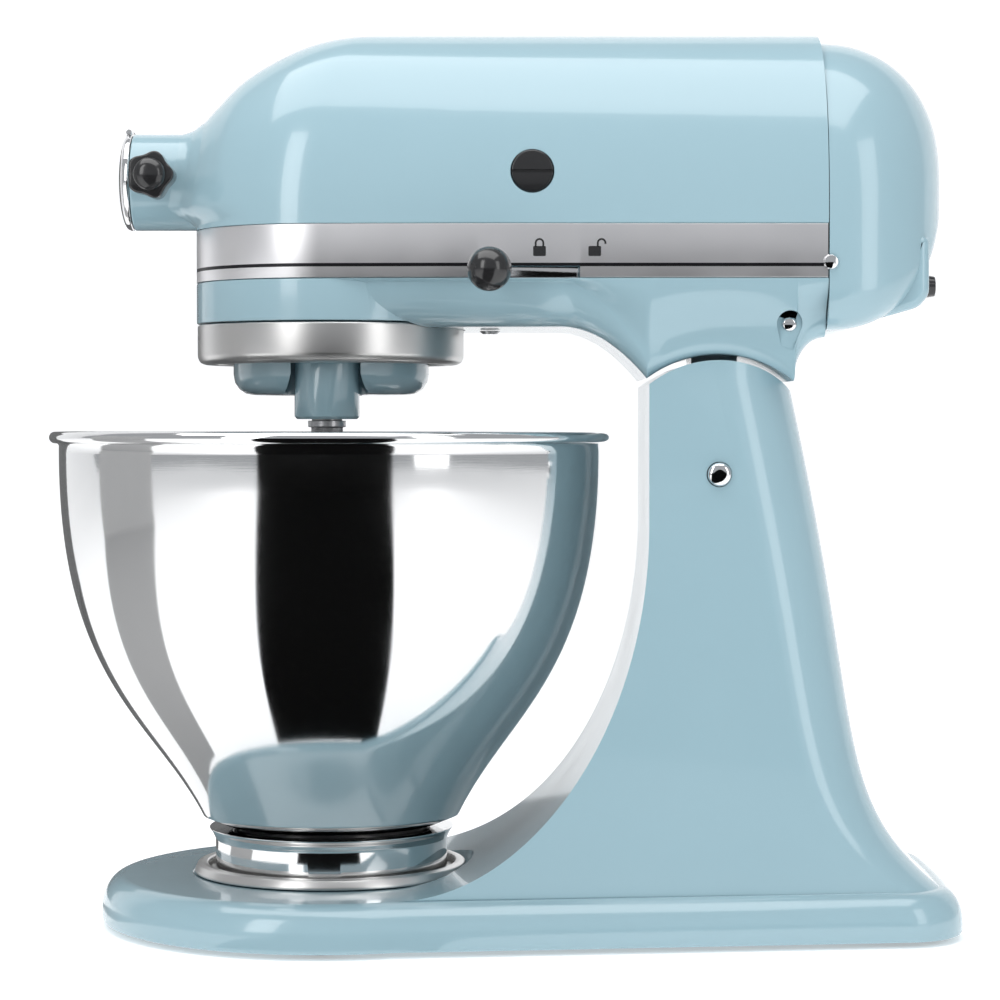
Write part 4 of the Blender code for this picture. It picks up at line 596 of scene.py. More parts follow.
# ---------------------------------------------------------------- where the mixer's parts stand
@dataclass(frozen=True)
class Places:
    """The heights and distances that more than one sub-assembly uses.

    Attributes:
        hinge_x: The tilting hinge.
        hinge_z: Its height.
        bowl_x: The axis of the bowl and planetary.
        shaft_z: The motor shaft's height.
        seam_x: Where the rear cover starts.
        band_low: Lower edge of the trim band.
        band_high: Its upper edge.
        belly_z: Underside of the head.
        base_top: Flat top of the base.
        nose: Radius of the head's front.
        half: Half-width of the head.
        hub_face_x: Front face of the attachment hub.
        hub_radius: Its radius.
        hub_knob_x: The clamping knob's axis.
        brush_x: The axis of the motor's brushes.
        cap_radius: Radius of their caps.
    """

    hinge_x: float = 0.0844
    hinge_z: float = 0.1794
    bowl_x: float = -0.0675
    shaft_z: float = 0.2950
    seam_x: float = 0.1250
    band_low: float = 0.2546
    band_high: float = 0.2750
    belly_z: float = 0.2362
    base_top: float = 0.0200
    nose: float = 0.0533
    half: float = 0.0550
    hub_face_x: float = -0.1456
    hub_radius: float = 0.0191
    hub_knob_x: float = -0.1350
    brush_x: float = 0.0123
    cap_radius: float = 0.0081

    @property
    def split_z(self) -> float:
        """Where the two housings meet, behind the band."""
        return (self.band_low + self.band_high) / 2

    @property
    def front_x(self) -> float:
        """The front of the head."""
        return self.bowl_x - self.nose


AT = Places()


# ---------------------------------------------------------------- pedestal
@dataclass
class Pedestal:
    """Base, sweep and column as one hollow casting, with its feet, hinge pin and bowl clamp.

    Attributes:
        wall: Thickness of the casting.
        edge_height: Height of the base's rounded edge.
        edge_inset: How far that edge draws in.
        nose: Radius of the base's front about the bowl's axis.
        rear_x: The back of the base.
        rear_half: Half-width of the base's back.
        top_radius: Arc of the column's top about the hinge.
    """

    wall: float = 0.0050
    edge_height: float = 0.0130
    edge_inset: float = 0.0090
    nose: float = 0.0913
    rear_x: float = 0.1790
    rear_half: float = 0.0660
    rear_corner: float = 0.0260
    front_x: float = 0.0573
    sweep_foot_x: float = -0.0400
    sweep_top_z: float = 0.1600
    top_radius: float = 0.0440
    foot_radius: float = 0.0095

    def rear(self, z: Array) -> Array:
        """How far back the column reaches at a height: one cubic curve from its top to the base."""
        foot = (self.rear_x - self.edge_inset, AT.base_top)
        curve = bezier([(0.1134, 0.2170), (0.1450, 0.0774), (0.1301, 0.0520), foot], 200)
        return np.interp(z, curve[::-1, 1], curve[::-1, 0])

    def front(self, z: Array) -> Array:
        """The front face at a height: upright, then a quarter ellipse down to the base."""
        drop = np.clip((self.sweep_top_z - z) / (self.sweep_top_z - AT.base_top), 0, 1)
        return self.sweep_foot_x + (self.front_x - self.sweep_foot_x) * np.sqrt(1 - drop**2)

    def plan(self, z: Array, front: Array, rear: Array, front_half: Array, rear_half: Array, corner: Array,
             nose: Array | None = None) -> Array:
        """Outlines at several heights: a flat or round front, straight sides, round rear corners.

        Args:
            z: Heights.
            front: Front of each outline.
            rear: Back of each.
            front_half: Half-width at the front of each.
            rear_half: Half-width at the back of each.
            corner: Radius of the rear corners.
            nose: Radius of the front about the bowl's axis, or None where the front is flat.

        Returns:
            An array of rings by points by 3.
        """
        share = np.linspace(0, 1, 33)[None]
        column = [value[:, None] for value in (front, rear, front_half, rear_half, corner)]
        fx, rx, fh, rh, c = column
        if nose is None:
            x, y = np.broadcast_to(fx, (len(z), 33)), fh * share
        else:
            reach = nose[:, None]
            turn = np.arccos(np.clip((AT.bowl_x - fx) / reach, -1, 1)) * share
            x, y = AT.bowl_x - reach * np.cos(turn), reach * np.sin(turn)
        along = np.linspace(0, 1, 26)[None, 1:]
        side_x = x[:, -1:] + (rx - c - x[:, -1:]) * along
        side_y = y[:, -1:] + (rh - y[:, -1:]) * along
        angle = np.radians(np.linspace(90, 0, 17))[None, 1:]
        corner_x, corner_y = rx - c + c * np.cos(angle), rh - c + c * np.sin(angle)
        back = np.linspace(1, 0, 9)[None, 1:]
        back_y = (rh - c) * back
        back_x = rx + 0.0008 * (1 - back**2)
        xs = np.hstack([x, side_x, corner_x, back_x])
        ys = np.hstack([y, side_y, corner_y, back_y])
        xs, ys = np.hstack([xs, xs[:, -2:0:-1]]), np.hstack([ys, -ys[:, -2:0:-1]])
        return np.stack([xs, ys, np.broadcast_to(z[:, None], xs.shape)], axis=-1)

    def column_rings(self, z: Array, inset: float = 0.0, drop: float = 0.0) -> Array:
        """Outlines of the column and sweep, whose sides spread as 0.22 d + 0.78 d^6 of the way down.

        Args:
            z: Heights.
            inset: How far inside the outer surface.
            drop: How far to lower the rings.

        Returns:
            An array of rings by points by 3.
        """
        down = np.clip((AT.hinge_z - z) / (AT.hinge_z - AT.base_top), 0, 1)
        flare = 0.22 * down + 0.78 * down**6
        base_half = math.sqrt((self.nose - self.edge_inset) ** 2 - (self.sweep_foot_x - AT.bowl_x) ** 2) - GAP
        rear_half = self.rear_half - self.edge_inset - GAP
        corner = 0.030 + (self.rear_corner - self.edge_inset - 0.030) * flare
        return self.plan(
            z - drop, self.front(z) + inset, self.rear(z) - inset, 0.046 + (base_half - 0.046) * flare - inset,
            0.043 + (rear_half - 0.043) * flare - inset, np.maximum(corner - inset, 0.002),
        )

    def base_rings(self, inset: Array, z: Array) -> Array:
        """Outlines of the base, drawn in by an inset at each height."""
        same = np.ones_like(z)
        return self.plan(
            z, self.sweep_foot_x * same, self.rear_x - inset, self.nose - inset, self.rear_half - inset,
            np.maximum(self.rear_corner - inset, 0.002), nose=self.nose - inset,
        )

    def outside(self) -> Shape:
        """The casting's outer surface, its top left higher than the arc that trims it."""
        turn = np.radians(np.linspace(0, 90, 14))
        inset = np.concatenate([[0.0012, 0.0004, 0.0], self.edge_inset * (1 - np.cos(turn))])
        z = np.concatenate([[0.0022, 0.0027, 0.0037], 0.0070 + self.edge_height * np.sin(turn)])
        sweep = 1 - np.cos(np.radians(np.linspace(0, 90, 60)))
        low = AT.base_top + (self.sweep_top_z - AT.base_top) * sweep
        heights = np.concatenate([low, np.linspace(0.163, 0.2274, 24)])
        return skin(np.concatenate([self.base_rings(inset, z), self.column_rings(heights)]))

    def inside(self) -> Shape:
        """The hollow, one wall inside the outer surface and open underneath."""
        wall = self.wall
        inset = np.array([wall, wall, wall + 0.006])
        low = self.base_rings(inset, np.array([-0.002, 0.009, 0.015]))
        heights = 0.021 + (0.1354 - 0.021) * np.linspace(0, 1, 24) ** 1.5
        return skin(np.concatenate([low, self.column_rings(heights, wall, wall)]))

    def feet(self) -> list[tuple[str, float, float]]:
        """Each foot's frame node and place."""
        return [
            ("foot_rear_left", 0.152, 0.042), ("foot_rear_right", 0.152, -0.042),
            ("foot_middle_left", AT.bowl_x, 0.0703), ("foot_middle_right", AT.bowl_x, -0.0703),
            ("foot_front", -0.1378, 0.0),
        ]

    def casting(self) -> bpy.types.Mesh:
        """The casting with its top arc, hollow, clamp seat, room for the hinge lug and pads for the feet."""
        radius, high = self.top_radius, self.top_radius + 0.020
        start = radius * math.sin(math.radians(15))
        ends = [(high, start), (high, high), (-high, high), (-high, start)]
        over = np.vstack([arc(radius, 165, 15, 64), ends]) + np.array([AT.hinge_x, AT.hinge_z])
        seat = [(0, 0.0196), (0.0554, 0.0196), (0.0562, 0.0216), (0.0606, 0.0496), (0, 0.0496)]
        slot, low = 0.0156, AT.hinge_z - 0.0186
        steps = [
            (Cut.TAKE, drawn_out(over, -0.09, 0.09, Axis.Y)),
            (Cut.TAKE, self.inside()),
            (Cut.TAKE, turned(rounded(seat, 0.0010), (AT.bowl_x, 0, 0), steps=128)),
            (Cut.TAKE, block((AT.hinge_x - 0.0182, -slot, low), (AT.hinge_x + 0.0265, slot, AT.hinge_z + 0.06))),
            (Cut.TAKE, block((AT.hinge_x, -slot, AT.hinge_z + 0.0200), (AT.hinge_x + 0.06, slot, AT.hinge_z + 0.06))),
            (Cut.TAKE, rod(0.0049, -0.06, 0.06, (AT.hinge_x, 0, AT.hinge_z), Axis.Y)),
        ]
        for _, x, y in self.feet():
            top = 0.026 if x > 0.1 else 0.017
            steps.append((Cut.JOIN, rod(self.foot_radius - 0.002, 0.0055, top, (x, y, 0.0), steps=32)))
        return carved("pedestal_casting", self.outside(), steps)

    def build(self) -> None:
        """Make the casting, feet, hinge pin and clamp plate."""
        add_piece("pedestal_casting", self.casting(), "enamel", Body.BASE, ("pedestal",), 30, True)
        tread = [(0, 0.0004), (0.0046, 0.0004), (0.0050, 0), (0.0087, 0), (0.0095, 0.0010), (0.0095, 0.0030),
                 (0.0091, 0.0034), (0.0095, 0.0038), (0.0095, 0.0052), (0, 0.0052)]
        for node, x, y in self.feet():
            shape = turned(rounded(tread, 0.0005), (x, y, 0), steps=48)
            add_piece(f"{node}_pad", shape.mesh(node), "rubber", Body.BASE, (node,))
        half = 0.0453 + 0.0012
        pin = [
            (0, -half), (0.0026, -half), (0.0040, -half + 0.0005), (0.0046, -half + 0.0014),
            (0.0046, half - 0.0014), (0.0040, half - 0.0005), (0.0026, half), (0, half),
        ]
        add_piece("tilt_pin", turned(rounded(pin, 0.0008), (AT.hinge_x, 0, AT.hinge_z), Axis.Y, 64).mesh("tilt_pin"),
                  "chrome", Body.BASE, ("hinge_pin",))
        low, high = 0.0203, 0.0245
        lip = high - 0.0014
        plate = [
            (0, low), (0.0546, low), (0.0546, low + 0.0010), (0.0534, high - 0.0006), (0.0518, high),
            (0.0496, high - 0.0003), (0.0492, high - 0.0009), (0.0495, lip), (0.0514, lip),
            (0.0520, low + 0.0010), (0, low + 0.0010),
        ]
        add_piece("bowl_clamp", turned(rounded(plate, 0.0004), (AT.bowl_x, 0, 0), steps=160).mesh("bowl_clamp"),
                  "brushed_steel", Body.BASE, ("bowl_clamp_plate",))


# ---------------------------------------------------------------- bowl
@dataclass
class MixingBowl:
    """The drawn steel bowl with its rolled rim, and the ring that locks into the clamp.

    Attributes:
        rim_radius: Over the rolled rim.
        rim_z: Top of the rim.
        bead: Radius of the roll.
        wall: Thickness of the steel.
    """

    rim_radius: float = 0.1115
    rim_z: float = 0.1958
    bead: float = 0.0023
    wall: float = 0.0011

    def wall_curve(self, count: int = 90) -> Array:
        """Radius and height of the wall's outside, one cubic curve from the seat to the rim."""
        return bezier([(0.1077, 0.1904), (0.1086, 0.0970), (0.0713, 0.0821), (0.0513, 0.0432)], count)[::-1]

    def build(self) -> None:
        """Make the bowl and its foot ring with the two bayonet lugs."""
        outer = self.wall_curve()
        floor = rounded([(0, 0.0385), (0.0403, 0.0385), (0.0513, 0.0432)], 0.006, 8)
        rim = arc(self.bead, -110, 150, 24, (self.rim_radius - self.bead, self.rim_z - self.bead))
        inner = outer[::-1] + np.array([-self.wall, self.wall * 0.4])
        dish = rounded([(0.0503, 0.0437), (0.0403, 0.0396), (0, 0.0396)], 0.006, 8)
        profile = np.vstack([floor[:-1], outer, rim, inner[:-1], dish])
        add_piece("mixing_bowl", turned(profile, (AT.bowl_x, 0, 0), steps=224).mesh("mixing_bowl"), "bowl_steel",
                  Body.BOWL, ("bowl",), 60)
        low, top, ring = 0.0219, 0.0382, 0.0463
        foot = [
            (ring, low), (ring, top - 0.0045), (ring + 0.0012, top - 0.0020), (ring + 0.0026, top),
            (ring - 0.0070, top), (ring - 0.0070, top - 0.0015), (ring - 0.0015, top - 0.0040), (ring - 0.0015, low),
        ]
        shape = turned(rounded(foot, 0.0005, closed=True), (AT.bowl_x, 0, 0), steps=160, ring=True)
        steps = []
        for near, far in ((0.04555, 0.05015), (-0.05015, -0.04555)):
            lug = block((AT.bowl_x - 0.006, near, low + 0.0001), (AT.bowl_x + 0.006, far, low + 0.0008))
            steps.append((Cut.JOIN, lug))
        add_piece("bowl_foot_ring", carved("bowl_foot_ring", shape, steps), "bowl_steel", Body.BOWL, ("bowl_foot",))


# ---------------------------------------------------------------- head
@dataclass
class HeadCastings:
    """The arched upper housing with its hub, the lower housing with gear case, neck and lug, and the rear cover.

    Attributes:
        height: The band's top to the ridge.
        ridge_x: Front end of the straight ridge.
        curve: Power of the superellipse that the arches follow.
        wall: Thickness of the castings.
        recess: How far the housings step in behind the band.
    """

    height: float = 0.0776
    ridge_x: float = -0.0464
    curve: float = 2.3
    wall: float = 0.0035
    recess: float = 0.0014
    saddle: float = 0.0462
    neck_half: float = 0.0452
    cover_length: float = 0.0490
    neck_screw: tuple[float, float] = (0.1109, 0.2372)
    pocket_floor: float = 0.0455

    def half_width(self, x: Array) -> Array:
        """Half-width of the plan, which grows a little behind the bowl's axis."""
        return AT.nose + (AT.half - AT.nose) * np.clip((x - AT.bowl_x) / 0.045, 0, 1)

    def outline(self, inset: float, seam_x: float, nose_steps: int = 49, side_steps: int = 44) -> Array:
        """The plan from the seam round the nose to the seam again: a half circle, then nearly straight sides."""
        front = arc(AT.nose - inset, 0, 90, nose_steps)
        x = np.linspace(AT.bowl_x, seam_x, side_steps)[1:]
        near = np.vstack([np.stack([AT.bowl_x - front[:, 0], front[:, 1]], axis=1),
                          np.stack([x, self.half_width(x) - inset], axis=1)])
        return np.vstack([near[:0:-1] * np.array([1, -1]), near])

    def arch(self, inset: float, low: float, seam_x: float, rows: int = 44) -> Shape:
        """The solid under the arches. At a share t of the quarter turn, the outline is drawn in to the spine by
        cos(t)^(2/n) and raised by sin(t)^(2/n).

        Args:
            inset: How far inside the outer surface.
            low: Height of its flat underside.
            seam_x: Where it ends.
            rows: Steps from the underside to the ridge.

        Returns:
            The closed surface.
        """
        plan = self.outline(inset, seam_x)
        turn = np.radians(90) * np.linspace(0, 1, rows) ** 0.9
        drawn = np.where(turn < math.radians(89.999), np.cos(turn), 0.0)[:, None] ** (2 / self.curve)
        up = np.sin(turn)[:, None] ** (2 / self.curve)
        spine = np.maximum(plan[:, 0], self.ridge_x)[None]
        rise = AT.band_high + self.height - inset - low
        x = spine + (plan[None, :, 0] - spine) * drawn
        y = plan[None, :, 1] * drawn
        points = np.stack([x, y, low + np.broadcast_to(rise * up, x.shape)], axis=-1)
        count = plan.shape[0]
        faces = grid_faces(rows, count, False, False)
        faces.append(list(range(count)))
        first, last = np.arange(rows) * count, np.arange(rows) * count + count - 1
        faces.append(first.tolist() + last[::-1][1:].tolist())
        return Shape(points.reshape(-1, 3), faces)

    def plan_solid(self, inset: float, low: float, high: float, seam_x: float) -> Shape:
        """An upright solid with the head's outline."""
        return drawn_out(self.outline(inset, seam_x), low, high, Axis.Z)

    def front_surface(self, y: Array, z: Array) -> Array:
        """X of the arched front at a height and a distance to the side, from the arches' formula."""
        share = np.clip((z - AT.band_high - GAP) / (self.height - GAP), 0, 1)
        drawn = np.maximum(1 - share**self.curve, 1e-6) ** (1 / self.curve)
        across = np.clip(np.abs(y) / drawn, 0, AT.nose * 0.999)
        return self.ridge_x + (AT.bowl_x - np.sqrt(AT.nose**2 - across**2) - self.ridge_x) * drawn

    def hub_fillet(self, rows: int = 40, steps: int = 160) -> Shape:
        """The hollow curve that runs the hub out into the front. On circles about the hub it stands proud of the
        arched front by an amount that falls away outwards, and at its rim it sinks just under it.

        Returns:
            The closed surface.
        """
        angle = np.linspace(0, 2 * math.pi, steps, endpoint=False)[None]
        tries = np.linspace(AT.hub_radius, 0.0560, 200)[:, None]
        y, z = tries * np.cos(angle), AT.shaft_z + tries * np.sin(angle)
        share = np.clip((z - AT.band_high) / self.height, 0, 0.999)
        drawn = (1 - share**self.curve) ** (1 / self.curve)
        good = (z > AT.band_high + 0.0006) & (z < AT.band_high + self.height - 0.004)
        good &= np.abs(y) < AT.nose * 0.90 * drawn
        reach = np.where(good, tries, AT.hub_radius + 0.0004).max(axis=0)
        out = np.linspace(0, 1, rows)[:, None] ** 1.4
        radius = AT.hub_radius - 0.0004 + (reach[None] - AT.hub_radius + 0.0004) * out
        y, z = radius * np.cos(angle), AT.shaft_z + radius * np.sin(angle)
        stand = np.interp(radius, [0.0187, 0.0195, 0.0207, 0.0244, 0.0311, 0.0385, 0.0452, 0.0560],
                          [0.0140, 0.0112, 0.0086, 0.0056, 0.0037, 0.0027, 0.0016, 0.0])
        clear = eased((z - AT.band_high - 0.0006) / 0.009) * (1 - eased((out - 0.55) / 0.45))
        x = self.front_surface(y, z) - stand * clear + 0.0003 * out**6
        near = np.stack([x, y, z], axis=-1)
        far = near + np.array([0.009, 0.0, 0.0])
        return skin(np.concatenate([near, far[::-1]]), looped=True)

    def upper(self) -> bpy.types.Mesh:
        """The upper housing: arch, hub and fillet, hollowed, with the hub's bore and the holes in it."""
        high, hub = AT.band_high + GAP, AT.hub_radius
        tube = [(0, AT.hub_face_x), (hub, AT.hub_face_x), (hub, AT.front_x + 0.014), (0, AT.front_x + 0.014)]
        inner = self.recess + self.wall
        steps = [
            (Cut.JOIN, self.hub_fillet()),
            (Cut.JOIN, turned(rounded(tube, 0.0008), (0, 0, AT.shaft_z), Axis.X, 128)),
            (Cut.TAKE, block((-0.2, -0.1, high - 0.03), (AT.front_x + 0.0012, 0.1, high))),
            (Cut.JOIN, self.plan_solid(self.recess, AT.split_z + GAP, high + 0.003, AT.seam_x - 0.0002)),
            (Cut.TAKE, self.arch(self.wall, high + 0.002, AT.seam_x + 0.001, 20)),
            (Cut.TAKE, self.plan_solid(inner, AT.split_z - 0.001, high + 0.004, AT.seam_x + 0.002)),
            (Cut.TAKE, rod(0.0130, AT.hub_face_x - 0.001, AT.front_x + 0.040, (0, 0, AT.shaft_z), Axis.X)),
            (Cut.TAKE, rod(0.0034, -0.030, -0.004, (AT.hub_knob_x, 0, AT.shaft_z), Axis.Y, 32)),
        ]
        for side in (-1, 1):
            centre = (AT.brush_x, 0, AT.shaft_z)
            steps.append((Cut.TAKE, rod(AT.cap_radius + GAP, side * 0.040, side * 0.070, centre, Axis.Y)))
        return carved("upper_casting", self.arch(0.0, high, AT.seam_x), steps)

    def underside(self, x: Array) -> Array:
        """Height of the underside: belly, curve down the neck, arc over the column, curve up to the seam."""
        front, back, run = AT.hinge_x - 0.0278, AT.hinge_x + 0.0289, 0.0330
        drop = np.clip((x - (front - run)) / run, 0, 1)
        saddle_front = AT.hinge_z + math.sqrt(self.saddle**2 - (AT.hinge_x - front) ** 2)
        saddle_back = AT.hinge_z + math.sqrt(self.saddle**2 - (back - AT.hinge_x) ** 2)
        before = AT.belly_z - (AT.belly_z - saddle_front) * drop**2
        over = AT.hinge_z + np.sqrt(np.maximum(self.saddle**2 - (x - AT.hinge_x) ** 2, 0))
        rise = np.clip((x - back) / (AT.seam_x - back), 0, 1)
        after = saddle_back + (AT.belly_z - 0.0040 - saddle_back) * np.sqrt(1 - (1 - rise) ** 2)
        return np.where(x <= front, before, np.where(x <= back, over, after))

    def arm(self, inset: float, start: float, end: float, lift: float = 0.0) -> Shape:
        """The arm and neck: a row of slices, each from its open top down a side that eases in, round a corner and
        along the underside.

        Args:
            inset: How far inside the outer surface.
            start: First slice.
            end: Last slice.
            lift: How much higher the top of each slice is.

        Returns:
            The closed surface.
        """
        front, back = AT.hinge_x - 0.0278, AT.hinge_x + 0.0289
        x = np.unique(np.round(np.concatenate([
            np.linspace(start, front - 0.033, 28), np.linspace(front - 0.033, front, 22),
            np.linspace(front, back, 40),
            back + (AT.seam_x - back) * np.linspace(0, 1, 16) ** 1.6, [end],
        ]), 6))
        at = np.minimum(x, AT.seam_x)[:, None]
        low = self.underside(at) + inset
        narrow = np.clip((at - AT.bowl_x - 0.085) / 0.045, 0, 1)
        half = self.half_width(at) - inset - 0.00005
        foot = (half - 0.0030) * (1 - narrow) + (self.neck_half - inset) * narrow
        corner = np.minimum(0.020 * (1 - narrow) + 0.006 * narrow, (AT.band_low - low) * 0.9)
        top = AT.split_z - GAP + lift
        step = AT.band_low - GAP
        share = np.linspace(0, 1, 10)[None]
        side_y = foot + (half - foot) * (0.5 + 0.5 * np.cos(math.pi * share))
        side_z = step + (low + corner - step) * share
        turn = np.radians(np.linspace(0, -90, 14))[None, 1:]
        round_y, round_z = foot - corner + corner * np.cos(turn), low + corner + corner * np.sin(turn)
        flat = np.linspace(1, 0, 7)[None, 1:]
        flat_y, flat_z = (foot - corner) * flat, np.broadcast_to(low, (len(x), 6))
        in_y = half - self.recess
        y = np.hstack([in_y, in_y, side_y, round_y, flat_y])
        z = np.hstack([np.full_like(low, top), np.full_like(low, step), side_z, round_z, flat_z])
        y, z = np.hstack([y, -y[:, -2::-1]]), np.hstack([z, z[:, -2::-1]])
        return skin(np.stack([np.broadcast_to(x[:, None], y.shape), y, z], axis=-1))

    def pocket(self) -> Array:
        """A drop-shaped outline: an arc over the neck screw, drawn down to a narrower foot."""
        x, z = self.neck_screw
        return np.vstack([arc(0.0050, -20, 200, 24, (x, z)), [(x - 0.0030, z - 0.0085), (x + 0.0014, z - 0.0100)]])

    def neck_screws(self) -> None:
        """The two screws that lie in the drop-shaped pockets of the neck."""
        x, z = self.neck_screw
        for side, label in ((-1, "right"), (1, "left")):
            floor = self.pocket_floor - 0.0002
            profile = [
                (0, floor), (0.0030, floor), (0.0030, floor + 0.0008), (0.0022, floor + 0.0016), (0, floor + 0.0019),
            ]
            outline = rounded(profile, 0.0005) * np.array([1.0, side])
            head = turned(outline, (x, 0, z), Axis.Y, 48)
            near, far = sorted((side * (floor + 0.0012), side * (floor + 0.0030)))
            slot = block((x - 0.0032, near, z - 0.0004), (x + 0.0032, far, z + 0.0004))
            name = f"neck_screw_{label}"
            add_piece(name, carved(name, head, [(Cut.TAKE, slot)]), "chrome", Body.HEAD)

    def lower(self) -> bpy.types.Mesh:
        """The lower housing: arm and gear case, hollowed, with the planetary's well, the lug and the lever slots."""
        low, floor, top, nose = 0.2384, 0.2558, AT.split_z - GAP, AT.nose
        axis, pin = (AT.bowl_x, 0, 0), (AT.hinge_x, 0, AT.hinge_z)
        case = [(0, low), (nose, low), (nose, AT.band_low - GAP), (nose - self.recess, AT.band_low - GAP),
                (nose - self.recess, top + 0.00005), (0, top + 0.00005)]
        steps = [
            (Cut.TAKE, rod(nose + GAP, AT.belly_z - 0.02, low, axis, steps=128)),
            (Cut.JOIN, turned(rounded(case, 0.0006, 4), axis, steps=160)),
            (Cut.TAKE, self.arm(self.wall, AT.bowl_x + nose, AT.seam_x + 0.002, 0.002)),
            (Cut.TAKE, rod(nose - self.recess - self.wall, floor, top + 0.001, axis, steps=96)),
            (Cut.TAKE, rod(0.0135, floor, top + 0.002, (-0.034358, 0.0258, 0), steps=48)),
            (Cut.TAKE, rod(nose - self.wall, low - 0.001, floor - self.wall, axis, steps=128)),
            (Cut.TAKE, rod(0.0061, low, top, axis, steps=32)),
            (Cut.JOIN, rod(0.0170, -0.0150, 0.0150, pin, Axis.Y, 96)),
            (Cut.JOIN, block((AT.hinge_x - 0.0090, -0.0148, AT.hinge_z),
                             (AT.hinge_x + 0.0090, 0.0148, AT.hinge_z + 0.0492))),
            (Cut.TAKE, rod(0.0047, -0.02, 0.02, pin, Axis.Y)),
        ]
        for side, reach in LEVER_RUNS:
            near, far = sorted((side * 0.045, side * 0.060))
            steps.append((Cut.TAKE, block((-0.0070, near, 0.2543), (-0.0010 + reach, far, 0.2594))))
            near, far = sorted((side * self.pocket_floor, side * 0.060))
            steps.append((Cut.TAKE, drawn_out(self.pocket(), near, far, Axis.Y)))
        return carved("lower_casting", self.arm(0.0, AT.bowl_x, AT.seam_x - 0.0001), steps)

    def cover_dome(self, inset: float, start: float) -> Shape:
        """The rear cover: its rim drawn in towards the motor shaft's end as a superellipse in length."""
        half, middle = AT.half - inset, AT.band_high
        top, low = AT.band_high + self.height - 0.003 - inset, AT.belly_z - 0.0014 + inset
        turn = np.radians(np.linspace(90, 0, 34))
        across, up = np.cos(turn) ** (2 / self.curve), np.sin(turn) ** (2 / self.curve)
        crown = np.stack([half * across, middle + (top - middle) * up], axis=1)
        crown[0, 0] = 0.0
        straight = np.stack([np.full(6, half), np.linspace(middle, low + 0.014, 7)[1:]], axis=1)
        corner = arc(0.014, 0, -90, 12, (half - 0.014, low + 0.014))[1:]
        under = np.stack([np.linspace(half - 0.014, 0, 7)[1:], np.full(6, low)], axis=1)
        rim = np.vstack([crown, straight, corner, under])
        rim = np.vstack([rim, rim[-2:0:-1] * np.array([-1, 1])])
        turn = np.radians(84) * np.linspace(0, 1, 30)[:, None]
        scale = np.cos(turn) ** (2 / 2.2)
        x = AT.seam_x + GAP + (self.cover_length - inset) * np.sin(turn) ** (2 / 2.2)
        centre = AT.shaft_z + 0.0010
        rings = np.stack([np.broadcast_to(x, (30, len(rim))), rim[None, :, 0] * scale,
                          centre + (rim[None, :, 1] - centre) * scale], axis=-1)
        if start < AT.seam_x:
            lead = rings[:1].copy()
            lead[..., 0] = start
            rings = np.concatenate([lead, rings])
        return skin(rings)

    def cover_box(self, inset: float) -> Shape:
        """The squarer box low on the rear cover, where the cord would enter."""
        half, back = 0.0390 - inset, AT.seam_x + 0.0410 - inset
        low, high = AT.belly_z - 0.0016 + inset, AT.band_high - 0.004
        front = AT.seam_x - 0.002 if inset else AT.seam_x + GAP
        side = [
            (front, low), (front + 0.0040, low), (back - 0.0043, low + 0.0092 - inset * 0.4), (back, low + 0.0141),
            (back, high), (front, high + 0.01),
        ]
        return drawn_out(rounded(side, 0.0025, 6, closed=True), -half, half, Axis.Y, 0.0 if inset else 0.0035)

    def rear(self) -> bpy.types.Mesh:
        """The rear cover, hollowed, with the holes for the cord's gland and its screw."""
        return carved("rear_cover_casting", self.cover_dome(0.0, AT.seam_x), [
            (Cut.JOIN, self.cover_box(0.0)),
            (Cut.TAKE, self.cover_dome(0.003, AT.seam_x - 0.002)),
            (Cut.TAKE, self.cover_box(0.003)),
            (Cut.TAKE, rod(0.0040, 0.030, 0.060, (AT.seam_x, 0, 0.2537), Axis.X, 48)),
            (Cut.TAKE, rod(0.0026, 0.030, 0.060, (AT.seam_x, 0, AT.shaft_z - 0.004), Axis.X, 32)),
        ])

    def build(self) -> None:
        """Make the three castings."""
        add_piece("upper_casting", self.upper(), "enamel", Body.HEAD, ("upper_housing",), 30, True)
        add_piece("lower_casting", self.lower(), "enamel", Body.HEAD, ("lower_housing",), 30, True)
        add_piece("rear_cover_casting", self.rear(), "enamel", Body.HEAD, ("rear_cover",), 30, True)
        self.neck_screws()


